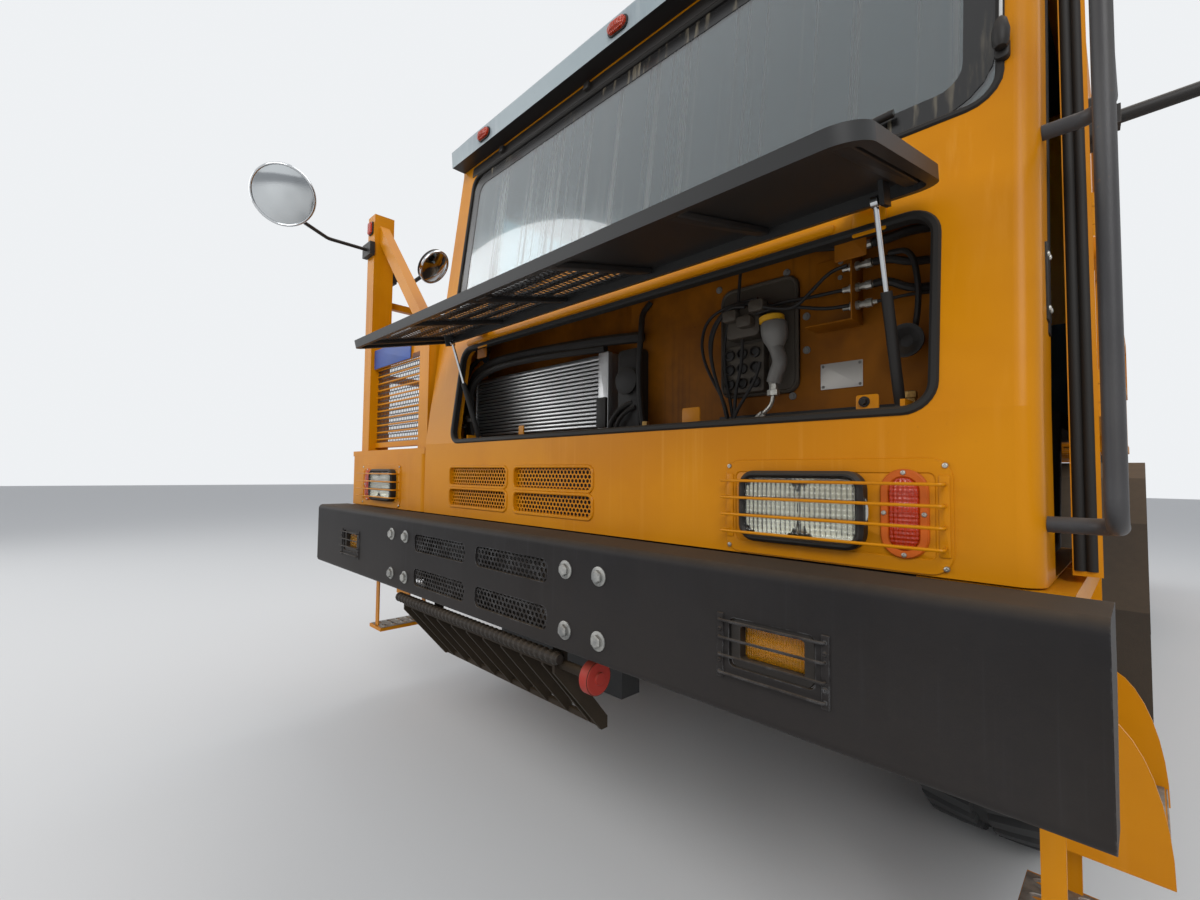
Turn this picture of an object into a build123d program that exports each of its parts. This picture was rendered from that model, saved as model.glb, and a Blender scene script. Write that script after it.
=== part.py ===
"""A wide-body mining dump truck with an offset cab, three axles and a tipping body.

All sizes are in millimetres. X runs to the truck's left, Y back from the front face of the
bumper and Z up from the ground. Heights, stations and widths are given from that corner of
the frame. The front hatch stands open, the driver's door is ajar and the tipping body is down.
"""

import os
from math import atan2, cos, degrees, hypot, pi, radians, sin

from build123d import *

# Axles and wheels
AXLE_FRONT, AXLE_MID, AXLE_REAR = 1870, 5720, 7370
TYRE_RADIUS = 745
TYRE_WIDTH = 432
# radius of a tyre's widest place, its shoulder's step inwards, and the flats round it
SIDEWALL_RADIUS, SHOULDER_DROP, TYRE_SIDES = 575, 40, 36
RIM_SEAT_RADIUS = 322
RIM_BORE_RADIUS = 298
RIM_HALF_WIDTH = 157
FLANGE_RADIUS = 348
FLANGE_THICK = 14
FRONT_WHEEL_X = 1335
KINGPIN_X = 1140
TWIN_OUTER_X = 1532
TWIN_INNER_X = 1052
# steering arm: reach behind the king pin and height of its ball
ARM_Y, ARM_Z = 270, 590
STUD_RADIUS = 14
SEAT_GAP = 0.3
PIN_FIT = 0.08

# Frame
RAIL_OUTER_X, RAIL_FLANGE = 500, 90
RAIL_BOTTOM, RAIL_TOP = 1000, 1450
RAIL_FRONT_TOP = 1235
RAIL_WEB = 14
RAIL_TAIL_Y = 8250

# Bumper
BUMPER_HALF = 1750
BUMPER_BOTTOM, BUMPER_TOP = 920, 1260
BUMPER_PLATE = 12
BUMPER_DEPTH = 170
BUMPER_EDGE_RADIUS = 24
TOW_EYE = (566, 100, 835)

# Cab
CAB_FRONT_Y, CAB_REAR_Y = 174, 1960
CAB_RIGHT_X, CAB_LEFT_X = -730, 1660
CAB_BOTTOM, CAB_KNEE_Z, CAB_TOP = 1264, 1600, 3040
# the front arches stand this far above the tyres, and the cab's floor over them this much more
ARCH_CLEAR, ARCH_COVER = 22, 48
CAB_ARCH_Z = 2 * TYRE_RADIUS + ARCH_CLEAR + ARCH_COVER
CAB_HEADER_Y = 355
CAB_WALL = 45
CAB_ARCH_Y, CAB_ARCH_TOP_Y = 960, 1100
ROOF_THICK = 60
CORNER_RADIUS = 45
HATCH_OPENING_X = (-481, 1490)
HATCH_OPENING_Z = (1602, 2051)
HATCH_CORNER = 60
SCREEN_X = (-610, 1596)
SCREEN_Z = (2255, 2985)
GLASS_THICK = 8
GLASS_GAP = 0.3
VISOR_FACE = [(280, 3055), (274, 3135)]
HIGH_FLOOR_Z = CAB_ARCH_Z + 60
FLOOR_THICK = 50
FOOTWELL_X = 600
FIREWALL_Y, FIREWALL_THICK = 500, 20
COWL_Z = 2160

# Door, hung at its rear edge and left ajar
DOOR_Y = (338, 1335)
DOOR_Z = (1275, 2985)
DOOR_GAP = 8
DOOR_HINGE_X, DOOR_HINGE_Y = 1680, 1341
DOOR_HINGE_Z = (CAB_ARCH_Z + 190, 2350)
DOOR_AJAR = 4
DOOR_WINDOW_Z = (2130, 2900)

# Hatch, hung on a line along its top and held open by two struts
HATCH_HINGE_Y, HATCH_HINGE_Z = 212, 2098
HATCH_DROOP = 13.2
HATCH_X = (-505, 1513)
HATCH_REACH = (20, 504)
HATCH_BACK, HATCH_FACE = 17, -13
HATCH_SKIN = 4
HATCH_CLOSE_ANGLE = 69
HATCH_PIN_RADIUS = 6
STRUT_X = (-390, 1400)
STRUT_FOOT = (270, 1625)
STRUT_HEAD = (120, 2050)
STRUT_RADIUS, STRUT_ROD_RADIUS = 12, 6
# along a strut from its foot: end of the barrel, and start of the rod inside it
BARREL_REACH, ROD_START = 262, 150

# Rubber arch over each front wheel
FENDER_X = (1120, 1790)

# Platform on the truck's right
# the box and the steps end this far inside the bumper's ends
STEP_INSET = 50
STEP_OUTER_X = BUMPER_HALF - STEP_INSET
PLATFORM_X = (-STEP_OUTER_X, -744)
PLATFORM_BOX_REAR = 930
DECK_Z = (CAB_ARCH_Z - 4, CAB_ARCH_Z + 26)
PLATFORM_REAR = 1960
STEP_INNER_X, STEP_LOW_X, STEP_FLARE = STEP_OUTER_X - 250, STEP_OUTER_X - 80, 115
STEP_Y, STEP_LOW_Y = (185, 930), 530
POST_WIDTH, POST_DEPTH = 100, 120
OUTER_POST_X, INNER_POST_X = PLATFORM_X[0] + 100, -850
POST_FRONT_Y = 190
OUTER_POST_TOP, INNER_POST_TOP = 3050, 2170

# Tipping body
BODY_FRONT, BODY_REAR = 2350, 9250
BODY_FLOOR_Z = 1810
BODY_FLOOR_THICK = 16
BODY_SIDE_X = 1560
BODY_SIDE_THICK = 12
BODY_RIB_X = 1640
BODY_MID_Z, BODY_TOP_Z = 2600, 3300
CANOPY_FRONT, CANOPY_TOP = 1250, 3960
CANOPY_LOW = CANOPY_TOP - 190
BED_PIN_Y, BED_PIN_Z, BED_PIN_RADIUS = 8150, 1380, 45
BED_ANGLE = 45
BEAM_X = (355, 505)
BEAM_BOTTOM = 1470
BEAM_END_Y = 8000

# Hoist
HOIST_Y, HOIST_FOOT_Z, HOIST_HEAD_Z = 5000, 690, 1690
HOIST_X = 230
HOIST_PIN_RADIUS = 40
# outer radius of the barrel, the two sleeves and the rod
HOIST_RADII = (110, 92, 74, 56)
HOIST_TOP_GAP = 20


def block(x, y, z):
    """A plain block between pairs of X, Y and Z."""
    size = [pair[1] - pair[0] for pair in (x, y, z)]
    middle = [(pair[0] + pair[1]) / 2 for pair in (x, y, z)]
    return Pos(*middle) * Box(*size)


def prism_x(points, x):
    """A Y-Z outline carried across from x[0] to x[1]."""
    return extrude(Plane.YZ.offset(x[0]) * make_face(Polyline(*points, close=True)), x[1] - x[0])


def prism_y(points, y):
    """An X-Z outline carried back from y[0] to y[1]."""
    return extrude(Plane.XZ.offset(-y[1]) * make_face(Polyline(*points, close=True)), y[1] - y[0])


def prism_z(points, z):
    """An X-Y outline carried up from z[0] to z[1]."""
    return extrude(Plane.XY.offset(z[0]) * make_face(Polyline(*points, close=True)), z[1] - z[0])


def round_y(x, z, y, radius):
    """A block along Y whose four X-Z corners are round."""
    outline = Pos((x[0] + x[1]) / 2, (z[0] + z[1]) / 2) * RectangleRounded(x[1] - x[0], z[1] - z[0], radius)
    return extrude(Plane.XZ.offset(-y[1]) * outline, y[1] - y[0])


def round_x(y, z, x, radius):
    """A block along X whose four Y-Z corners are round."""
    outline = Pos((y[0] + y[1]) / 2, (z[0] + z[1]) / 2) * RectangleRounded(y[1] - y[0], z[1] - z[0], radius)
    return extrude(Plane.YZ.offset(x[0]) * outline, x[1] - x[0])


def round_z(x, y, z, radius):
    """A block along Z whose four X-Y corners are round."""
    outline = Pos((x[0] + x[1]) / 2, (y[0] + y[1]) / 2) * RectangleRounded(x[1] - x[0], y[1] - y[0], radius)
    return extrude(Plane.XY.offset(z[0]) * outline, z[1] - z[0])


def rod(start, end, radius):
    """A round bar between two points."""
    start, end = Vector(*start), Vector(*end)
    return extrude(Plane(origin=start, z_dir=end - start) * Circle(radius), (end - start).length)


def rod_x(x, y, z, radius):
    """A round bar along X."""
    return rod((x[0], y, z), (x[1], y, z), radius)


def beam(start, end, across, width, depth):
    """A rectangular bar between two points, with its width along the direction given."""
    start, end = Vector(*start), Vector(*end)
    section = Plane(origin=start, x_dir=across, z_dir=end - start)
    return extrude(section * Rectangle(width, depth), (end - start).length)


def pipe(points, bend, radius):
    """A round bar along straight runs with round bends."""
    path = FilletPolyline(*points, radius=bend)
    return sweep(Plane(origin=path @ 0, z_dir=path % 0) * Circle(radius), path=path)


def lathe_x(points, centre):
    """A solid turned about an axis along X; each point is a place along X and a radius."""
    outline = make_face(Polyline(*points, close=True))
    return Pos(*centre) * revolve(outline, Axis.X)


def both_sides(shape):
    """The piece and its mirror image on the other side of the truck."""
    return [shape, mirror(shape, about=Plane.YZ)]


def front_face_y(z):
    """The cab's outer front face, upright to the knee and leaning back above it."""
    if z <= CAB_KNEE_Z:
        return CAB_FRONT_Y
    return CAB_FRONT_Y + (z - CAB_KNEE_Z) * (CAB_HEADER_Y - CAB_FRONT_Y) / (CAB_TOP - CAB_KNEE_Z)


def cab_outline(inset=0):
    """The cab's side outline behind its front panel."""
    return [
        (front_face_y(CAB_BOTTOM) + CAB_WALL, CAB_BOTTOM + inset),
        (CAB_ARCH_Y, CAB_BOTTOM + inset),
        (CAB_ARCH_TOP_Y, CAB_ARCH_Z + inset),
        (CAB_REAR_Y - CAB_WALL, CAB_ARCH_Z + inset),
        (CAB_REAR_Y - CAB_WALL, CAB_TOP),
        (CAB_HEADER_Y + CAB_WALL, CAB_TOP),
        (CAB_FRONT_Y + CAB_WALL, CAB_KNEE_Z),
    ]


# Frame, axles and running gear

def frame_rails():
    """Two channel rails with cross tubes, bumper plates, cab mounts and the body's rear pin."""
    side = [
        (BUMPER_PLATE, RAIL_BOTTOM),
        (BUMPER_PLATE, RAIL_FRONT_TOP),
        (230, RAIL_FRONT_TOP),
        (310, RAIL_TOP),
        (RAIL_TAIL_Y - 60, RAIL_TOP),
        (RAIL_TAIL_Y, RAIL_TOP - 80),
        (RAIL_TAIL_Y, 1240),
        (7900, RAIL_BOTTOM),
    ]
    inner = RAIL_OUTER_X - RAIL_FLANGE
    rail = prism_x(side, (inner, RAIL_OUTER_X))
    # the channel's hollow is cut in lengths between cross tubes
    for start, end in ((430, 2630), (2770, 4860), (5140, 6470), (6620, 8000)):
        rail -= block((inner, RAIL_OUTER_X - RAIL_WEB), (start, end), (RAIL_BOTTOM + 14, RAIL_TOP - 14))
    frame = rail + mirror(rail, about=Plane.YZ)
    # station and height of each cross tube
    for y, z in ((360, 1120), (2700, 1300), (6545, 1150)):
        frame += rod_x((-inner, inner), y, z, 55)
    frame += rod_x((-RAIL_OUTER_X - 75, RAIL_OUTER_X + 75), BED_PIN_Y, BED_PIN_Z, BED_PIN_RADIUS)
    for side_x in (-1, 1):
        plate_x = sorted((side_x * RAIL_OUTER_X, side_x * 735))
        frame += block(plate_x, (BUMPER_PLATE, BUMPER_PLATE + 14), (950, 1232))
        frame += prism_z(
            [(side_x * RAIL_OUTER_X, 26), (side_x * 720, 26), (side_x * RAIL_OUTER_X, 330)], (1075, 1089)
        )
        mount_x = sorted((side_x * 425, side_x * 485))
        frame += block(mount_x, (395, 455), (RAIL_TOP, CAB_ARCH_Z))
        frame += block(mount_x, (1700, 1800), (RAIL_TOP, HIGH_FLOOR_Z))
        for y in (2600, 4300, 6500):
            frame += block(mount_x, (y, y + 200), (RAIL_TOP, BEAM_BOTTOM - SEAT_GAP))
        # outriggers under the cab's footwell and the platform
        arm_x = sorted((side_x * RAIL_OUTER_X, side_x * STEP_INNER_X))
        for y in (420, 820):
            frame += block(arm_x, (y, y + 70), (1180, CAB_BOTTOM))
        # hangers of the hoist's foot tube
        hanger_x = sorted((side_x * 380, side_x * RAIL_OUTER_X))
        frame += block(hanger_x, (HOIST_Y - 90, HOIST_Y + 90), (HOIST_FOOT_Z - 80, RAIL_BOTTOM))
    frame += rod_x((-400, 400), HOIST_Y, HOIST_FOOT_Z, HOIST_PIN_RADIUS)
    return frame


def front_bumper():
    """The pressed steel bumper with its grille slots, lamp pockets and closed ends."""
    outer = [
        (0, BUMPER_BOTTOM),
        (0, BUMPER_TOP),
        (BUMPER_DEPTH, BUMPER_TOP),
        (BUMPER_DEPTH, BUMPER_TOP - BUMPER_PLATE),
        (BUMPER_PLATE, BUMPER_TOP - BUMPER_PLATE),
        (BUMPER_PLATE, BUMPER_BOTTOM + BUMPER_PLATE),
        (110, BUMPER_BOTTOM + BUMPER_PLATE),
        (110, BUMPER_BOTTOM),
    ]
    section = make_face(Polyline(*outer, close=True))
    section = fillet(section.vertices().filter_by(lambda v: v.X < 1), BUMPER_EDGE_RADIUS)
    inside = section.vertices().filter_by(lambda v: abs(v.X - BUMPER_PLATE) < 1 and v.Y > BUMPER_BOTTOM + 1)
    section = fillet(inside.filter_by(lambda v: v.Y < BUMPER_TOP - 1), BUMPER_EDGE_RADIUS - BUMPER_PLATE)
    bumper = extrude(Plane.YZ.offset(-BUMPER_HALF) * section, 2 * BUMPER_HALF)
    for side in (-1, 1):
        end = sorted((side * (BUMPER_HALF - BUMPER_PLATE), side * BUMPER_HALF))
        bumper += prism_x([(6, 932), (6, 1250), (165, 1250), (165, 1130), (105, 932)], end)
        # fog lamp pocket
        pocket = sorted((side * 1117, side * 1316))
        bumper -= round_y(pocket, (1033, 1142), (-5, BUMPER_PLATE + 5), 14)
        for low, high in ((970, 1044), (1118, 1192)):
            slot = sorted((side * 37, side * 461))
            bumper -= round_y(slot, (low, high), (-5, BUMPER_PLATE + 5), 24)
    return bumper


def radiator_guard():
    """The slatted guard under the bumper, in a frame hung from the rails, with the tow eye."""
    left, right = -700, 420
    top, bottom = 850, 560
    guard = block((left, right), (70, 90), (top - 20, top))
    guard += block((left, right), (300, 320), (bottom, bottom + 20))
    for x in (left, right - 12):
        edge = [(70, top - 40), (70, top), (110, top), (320, bottom + 40), (320, bottom), (290, bottom)]
        guard += prism_x(edge, (x, x + 12))
    count = 9
    for i in range(count):
        x = left + 12 + (i + 0.5) * (right - left - 24) / count
        slat = [(76, top - 30), (76, top - 2), (110, top - 2), (318, bottom + 30), (318, bottom + 4),
                (296, bottom + 4)]
        guard += prism_x(slat, (x - 6, x + 6))
    for x in (-480, 360):
        guard += block((x, x + 60), (85, 126), (top - 20, top))
        guard += block((x, x + 60), (112, 126), (top - 20, RAIL_BOTTOM))
    guard += rod_x((right - 5, TOW_EYE[0]), *TOW_EYE[1:], 16)
    return guard


def tow_eye():
    """The red pin disc of the tow eye under the bumper."""
    return rod_x((TOW_EYE[0] + SEAT_GAP, TOW_EYE[0] + 30), *TOW_EYE[1:], 52)


def front_beam():
    """The dropped front axle beam with its king pins."""
    # place along X, bottom height and depth of the beam's section
    half = [(0, 545), (560, 545), (800, 600), (1010, 690), (1075, 690), (1075, 800), (1000, 800), (780, 715),
            (540, 665), (0, 665)]
    side = prism_y(half, (AXLE_FRONT - 60, AXLE_FRONT + 60))
    axle = side + mirror(side, about=Plane.YZ)
    for x in (-KINGPIN_X, KINGPIN_X):
        axle += rod((x, AXLE_FRONT, 690), (x, AXLE_FRONT, 800), 66)
        axle += rod((x, AXLE_FRONT, 625), (x, AXLE_FRONT, 865), 26)
        inner = sorted((x * 0.93, x))
        axle += block(inner, (AXLE_FRONT - 55, AXLE_FRONT + 55), (690, 800))
    return axle


def drive_axles():
    """The two rear axle cases, each a swollen middle on a tube with stub ends."""
    cases = []
    half = [(0, 0), (0, 265), (95, 258), (190, 205), (300, 135), (420, 108), (760, 108), (760, 88),
            (1300, 88), (1300, 0)]
    for y in (AXLE_MID, AXLE_REAR):
        case = lathe_x(half, (0, y, TYRE_RADIUS))
        case += mirror(case, about=Plane.YZ)
        case += rod((0, y - 330, TYRE_RADIUS + 55), (0, y - 120, TYRE_RADIUS + 55), 120)
        for x in (-650, 650):
            case += block((x - 30, x + 30), (y - 95, y + 95), (TYRE_RADIUS + 60, TYRE_RADIUS + 150))
        cases.append(case)
    return cases


def spring_stack(y, z, length, leaves, leaf, x, width):
    """A stack of flat leaves, each shorter than the one above it."""
    stack = None
    for i in range(leaves):
        reach = length * (1 - 0.8 * i / leaves)
        height = (z - (i + 1) * leaf, z - i * leaf)
        bar = block((x - width / 2, x + width / 2), (y - reach, y + reach), height)
        stack = bar if stack is None else stack + bar
    return stack


def suspension():
    """Front leaf springs and the rear balance springs on their trunnion."""
    parts = []
    for side in (-1, 1):
        x = side * 455
        front = spring_stack(AXLE_FRONT, 880, 740, 6, 22, x, 80)
        for y in (AXLE_FRONT - 700, AXLE_FRONT + 700):
            front += block((x - 34, x + 34), (y - 45, y + 45), (850, RAIL_BOTTOM))
        seat_top = 880 - 6 * 22
        front += block((x - 55, x + 55), (AXLE_FRONT - 100, AXLE_FRONT + 100), (665, seat_top))
        parts.append(front)
        middle = (AXLE_MID + AXLE_REAR) / 2
        x = side * 650
        rear = spring_stack(middle, 1010, 860, 8, 26, x, 90)
        for y in (AXLE_MID, AXLE_REAR):
            rear += block((x - 45, x + 45), (y - 60, y + 60), (TYRE_RADIUS + 150, 985))
        rear += rod_x(sorted((side * RAIL_OUTER_X, side * 690)), middle, 1060, 70)
        parts.append(rear)
    return parts


def engine_block():
    """The engine as one plain mass at its real place."""
    return round_x((950, 2300), (700, 1600), (-390, 390), 60)


def drive_line():
    """The gearbox behind the engine and the shafts to the two drive axles."""
    front = 2300 + SEAT_GAP
    case = [(front, 760), (front, 1300), (2480, 1300), (2620, 1130), (3150, 1080), (3150, 720), (2500, 720)]
    gearbox = prism_x(case, (-230, 230))
    gearbox += rod((0, 3150, 900), (0, 3230, 900), 90)
    parts = [gearbox]
    pinion = TYRE_RADIUS + 55
    # start station and height, end station and height of each shaft
    for y0, z0, y1, z1 in (
        (3230, 900, AXLE_MID - 330, pinion),
        (AXLE_MID + 265, pinion, AXLE_REAR - 330, pinion),
    ):
        shaft = rod((0, y0 + 12, z0), (0, y1 - 12, z1), 52)
        for y, z, way in ((y0 + SEAT_GAP, z0, 1), (y1 - SEAT_GAP, z1, -1)):
            shaft += rod((0, y, z), (0, y + way * 26, z), 84)
        parts.append(shaft)
    return parts


def radiator():
    """The radiator and its fan shroud in front of the engine."""
    core = block((-395, 395), (420, 520), (620, 1500))
    core += block((-360, 360), (520, 640), (680, 1440)) - rod((0, 519, 1060), (0, 641, 1060), 330)
    for blade in range(8):
        arm = Pos(0, 600, 1060) * Rot(0, blade * 45, 0) * Pos(180, 0, 0) * Rot(25, 0, 0) * Box(300, 8, 90)
        core += arm
    core += rod((0, 520, 1060), (0, 700, 1060), 60)
    core += rod((0, 700, 1060), (0, 950 - SEAT_GAP, 1060), 45)
    for x in (-395, 355):
        core += block((x, x + 40), (440, 500), (1500, 1560))
    return core


def side_tanks():
    """Fuel and oil tanks on the left, air bottles and the battery box on the right."""
    tanks = []
    # x low and high, y low and high, z low and high of each box tank
    for x, y, z in (
        ((620, 1260), (2980, 4080), (640, 1270)),
        ((620, 1150), (4180, 4760), (700, 1300)),
        ((-1200, -640), (2980, 3560), (700, 1180)),
    ):
        tank = round_x(z=z, y=y, x=x, radius=60)
        side = 1 if x[0] > 0 else -1
        inner = min(abs(x[0]), abs(x[1]))
        bracket = sorted((side * RAIL_OUTER_X, side * inner))
        for station in (y[0] + 120, y[1] - 180):
            tank += block(bracket, (station, station + 60), (1060, 1140))
        tanks.append(tank)
    bottles = None
    for z in (860, 1150):
        bottle = rod((-800, 3700, z), (-800, 4700, z), 130)
        for y in (3900, 4450):
            bottle += block((-800, -RAIL_OUTER_X), (y, y + 50), (1040, 1100) if z > 1000 else (880, 940))
        bottles = bottle if bottles is None else bottles + bottle
    bottles += block((-560, -RAIL_OUTER_X), (3900, 4500), (880, 1100))
    tanks.append(bottles)
    return tanks


# Cab

def cab_front():
    """The cab's front panel with the hatch opening, the windscreen opening and the vents."""
    outline = [
        (CAB_FRONT_Y, CAB_BOTTOM),
        (CAB_FRONT_Y, CAB_KNEE_Z),
        (CAB_HEADER_Y, CAB_TOP),
        (CAB_HEADER_Y + CAB_WALL, CAB_TOP),
        (CAB_FRONT_Y + CAB_WALL, CAB_KNEE_Z),
        (CAB_FRONT_Y + CAB_WALL, CAB_BOTTOM),
    ]
    panel = prism_x(outline, (CAB_RIGHT_X, CAB_LEFT_X))
    corner = panel.edges().filter_by(lambda e: abs(e.center().X - CAB_LEFT_X) < 1 and e.length > 300)
    corner = corner.filter_by(lambda e: e.center().Y < front_face_y(e.center().Z) + 2)
    panel = fillet(corner, CORNER_RADIUS - 5)
    depth = (CAB_FRONT_Y - 40, CAB_HEADER_Y + CAB_WALL + 40)
    panel -= round_y(HATCH_OPENING_X, HATCH_OPENING_Z, depth, HATCH_CORNER)
    panel -= round_y(SCREEN_X, SCREEN_Z, depth, 50)
    # vent slots in two columns and two rows
    for x in ((-477, -27), (30, 475)):
        for z in ((1315, 1386), (1408, 1484)):
            panel -= round_y(x, z, depth, 18)
    # ears of the hatch hinges, and the tabs that carry the struts' feet
    for x in (-330, 1330):
        ear = prism_x(
            [(HATCH_HINGE_Y - 14, HATCH_HINGE_Z - 8), (HATCH_HINGE_Y - 14, HATCH_HINGE_Z + 14),
             (front_face_y(HATCH_HINGE_Z + 40) + 3, HATCH_HINGE_Z + 40),
             (front_face_y(HATCH_HINGE_Z) + 3, HATCH_HINGE_Z - 8)],
            (x, x + 40),
        )
        panel += ear + rod_x((x, x + 40), HATCH_HINGE_Y, HATCH_HINGE_Z, 14)
        panel += rod_x((x - 26, x + 66), HATCH_HINGE_Y, HATCH_HINGE_Z, HATCH_PIN_RADIUS)
    foot_y, foot_z = STRUT_FOOT
    for x, way in zip(STRUT_X, (-1, 1)):
        tab = sorted((x + way * 14, x + way * 24))
        panel += block(tab, (front_face_y(foot_z) + CAB_WALL - 4, foot_y + 15), (foot_z - 60, foot_z + 12))
        pin = sorted((x - way * 8, x + way * 14))
        panel += rod_x(pin, foot_y, foot_z, 5)
    return panel


def cab_side(x, windows):
    """A side wall of the cab with windows or a doorway cut through it."""
    wall = prism_x(cab_outline(), x)
    for window in windows:
        wall -= window
    return wall


def doorway():
    """The hole in the left side that the door closes, larger than the door by its gap."""
    low, high = DOOR_Y
    return prism_x(
        [
            (low - DOOR_GAP, DOOR_Z[0] - DOOR_GAP),
            (CAB_ARCH_Y + 2, DOOR_Z[0] - DOOR_GAP),
            (CAB_ARCH_TOP_Y + 2, CAB_ARCH_Z + 4),
            (high + DOOR_GAP, CAB_ARCH_Z + 4),
            (high + DOOR_GAP, DOOR_Z[1] + DOOR_GAP),
            (door_front(DOOR_Z[1]) - DOOR_GAP, DOOR_Z[1] + DOOR_GAP),
            (door_front(CAB_KNEE_Z) - DOOR_GAP, CAB_KNEE_Z),
        ],
        (CAB_LEFT_X - CAB_WALL - 20, CAB_LEFT_X + 20),
    )


def door_front(z):
    """The door's front edge, which leans back with the cab's front."""
    return DOOR_Y[0] + front_face_y(z) - CAB_FRONT_Y


def cab_left_side():
    """The left side wall round the doorway, with the ears of the door hinges."""
    wall = cab_side((CAB_LEFT_X - CAB_WALL, CAB_LEFT_X), [doorway()])
    for z in DOOR_HINGE_Z:
        x, y, face = DOOR_HINGE_X, DOOR_HINGE_Y, CAB_LEFT_X
        ear = [(face - 4, y + 6), (face - 4, y + 70), (face + 6, y + 70), (x + 4, y + 12), (x + 4, y)]
        wall += prism_z(ear, (z - 30, z + 30)) + rod((x, y, z - 30), (x, y, z + 30), 13)
    return wall


def cab_right_side():
    """The right side wall with its window over the platform."""
    window = round_x((560, 1500), (2200, 2900), (CAB_RIGHT_X - 20, CAB_RIGHT_X + CAB_WALL + 20), 70)
    return cab_side((CAB_RIGHT_X, CAB_RIGHT_X + CAB_WALL), [window])


def cab_rear():
    """The cab's rear wall with its window."""
    wall = block((CAB_RIGHT_X, CAB_LEFT_X), (CAB_REAR_Y - CAB_WALL, CAB_REAR_Y), (HIGH_FLOOR_Z, CAB_TOP))
    return wall - round_y((-150, 1080), (2300, 2880), (CAB_REAR_Y - 100, CAB_REAR_Y + 20), 70)


def cab_roof():
    """The cab's roof, crowned a little from side to side."""
    low, high = CAB_TOP, CAB_TOP + ROOF_THICK
    rise = 25
    roof = prism_y(
        [(CAB_RIGHT_X, low), (CAB_RIGHT_X, high - rise), (CAB_RIGHT_X + 90, high), (CAB_LEFT_X - 90, high),
         (CAB_LEFT_X, high - rise), (CAB_LEFT_X, low)],
        (CAB_HEADER_Y, CAB_REAR_Y),
    )
    return roof


def sun_visor():
    """The wide visor over the windscreen, hooked on the roof's front edge."""
    front = VISOR_FACE[0][0]
    outline = [
        *VISOR_FACE, (front + 40, 3195), (front + 330, 3205), (front + 360, CAB_TOP + ROOF_THICK),
        (CAB_HEADER_Y - 2, CAB_TOP + ROOF_THICK), (CAB_HEADER_Y - 2, 3055),
    ]
    return prism_x(outline, (CAB_RIGHT_X + 90, CAB_LEFT_X - 90)) + prism_x(
        [*VISOR_FACE, (front + 40, 3160), (CAB_HEADER_Y - 2, 3160), (CAB_HEADER_Y - 2, 3055)],
        (CAB_RIGHT_X + 10, CAB_LEFT_X + 40),
    )


def cab_floor():
    """The stepped floor: a high floor over engine and wheel, and a footwell before the seat."""
    inner = (CAB_RIGHT_X + CAB_WALL, CAB_LEFT_X - CAB_WALL)
    start, end = FIREWALL_Y + FIREWALL_THICK, CAB_REAR_Y - CAB_WALL
    foot, high = CAB_BOTTOM, HIGH_FLOOR_Z
    rise = CAB_ARCH_TOP_Y - 40
    stepped = [
        (start, foot), (CAB_ARCH_Y, foot), (rise, high), (end, high), (end, high + FLOOR_THICK),
        (rise - 30, high + FLOOR_THICK), (CAB_ARCH_Y - 30, foot + FLOOR_THICK), (start, foot + FLOOR_THICK),
    ]
    floor = prism_x(stepped, (FOOTWELL_X, inner[1]))
    floor += block((inner[0], FOOTWELL_X), (start, end), (high, high + FLOOR_THICK))
    top = high + FLOOR_THICK
    riser = [(start, foot), (CAB_ARCH_Y, foot), (rise, high), (rise, top), (start, top)]
    return floor + prism_x(riser, (FOOTWELL_X, FOOTWELL_X + FLOOR_THICK))


def service_panel():
    """The firewall behind the hatch opening and the cowl shelf above it."""
    inner = (CAB_RIGHT_X + CAB_WALL, CAB_LEFT_X - CAB_WALL)
    wall = (FIREWALL_Y, FIREWALL_Y + FIREWALL_THICK)
    panel = block((inner[0], FOOTWELL_X), wall, (CAB_ARCH_Z, COWL_Z + 20))
    panel += block((FOOTWELL_X, inner[1]), wall, (CAB_BOTTOM, COWL_Z + 20))
    shelf_front = front_face_y(COWL_Z) + CAB_WALL + 3
    panel += block(inner, (shelf_front, FIREWALL_Y), (COWL_Z, COWL_Z + 20))
    # the right half of the bay is stepped forward over the driver's feet
    panel += block((420, inner[1]), (430, FIREWALL_Y), (CAB_KNEE_Z, COWL_Z))
    return panel


def service_fittings():
    """The valve block, reservoir, plate and brackets on the firewall."""
    face = 430
    plate = round_y((760, 1120), (1650, 2000), (face - 8 - SEAT_GAP, face - SEAT_GAP), 40)
    plate += block((800, 930), (face - 90, face - 8), (1720, 1930))
    plate += rod((1010, face - 50, 1830), (1010, face - 50, 1960), 38)
    plate += rod((1010, face - 50, 1960), (1010, face - 50, 1990), 30)
    plate += block((990, 1030), (face - 30, face - 8), (1850, 1900))
    return plate


def condenser():
    """The finned heat exchanger behind the left part of the hatch opening."""
    x, y, z = (-660, 345), (405, FIREWALL_Y - SEAT_GAP), (1630, 1940)
    core = block(x, y, z)
    # level gaps between the slats, short of the two end tanks
    tank, gaps = 55, 18
    pitch = (z[1] - z[0] - 30) / gaps
    for i in range(gaps):
        low = z[0] + 15 + (i + 0.25) * pitch
        core -= block((x[0] + tank, x[1] - tank), (y[0] - 5, y[0] + 12), (low, low + pitch / 2))
    return core


def glass_slab():
    """The windscreen, lying in its opening along the leaning front."""
    low, high = SCREEN_Z[0] + GLASS_GAP, SCREEN_Z[1] - GLASS_GAP
    sink = 6
    outline = [
        (front_face_y(low) + sink, low), (front_face_y(high) + sink, high),
        (front_face_y(high) + sink + GLASS_THICK, high), (front_face_y(low) + sink + GLASS_THICK, low),
    ]
    pane = prism_x(outline, (SCREEN_X[0] + GLASS_GAP, SCREEN_X[1] - GLASS_GAP))
    corners = pane.edges().filter_by(lambda e: abs(e.length - GLASS_THICK) < 0.5)
    return fillet(corners, 50)


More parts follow.
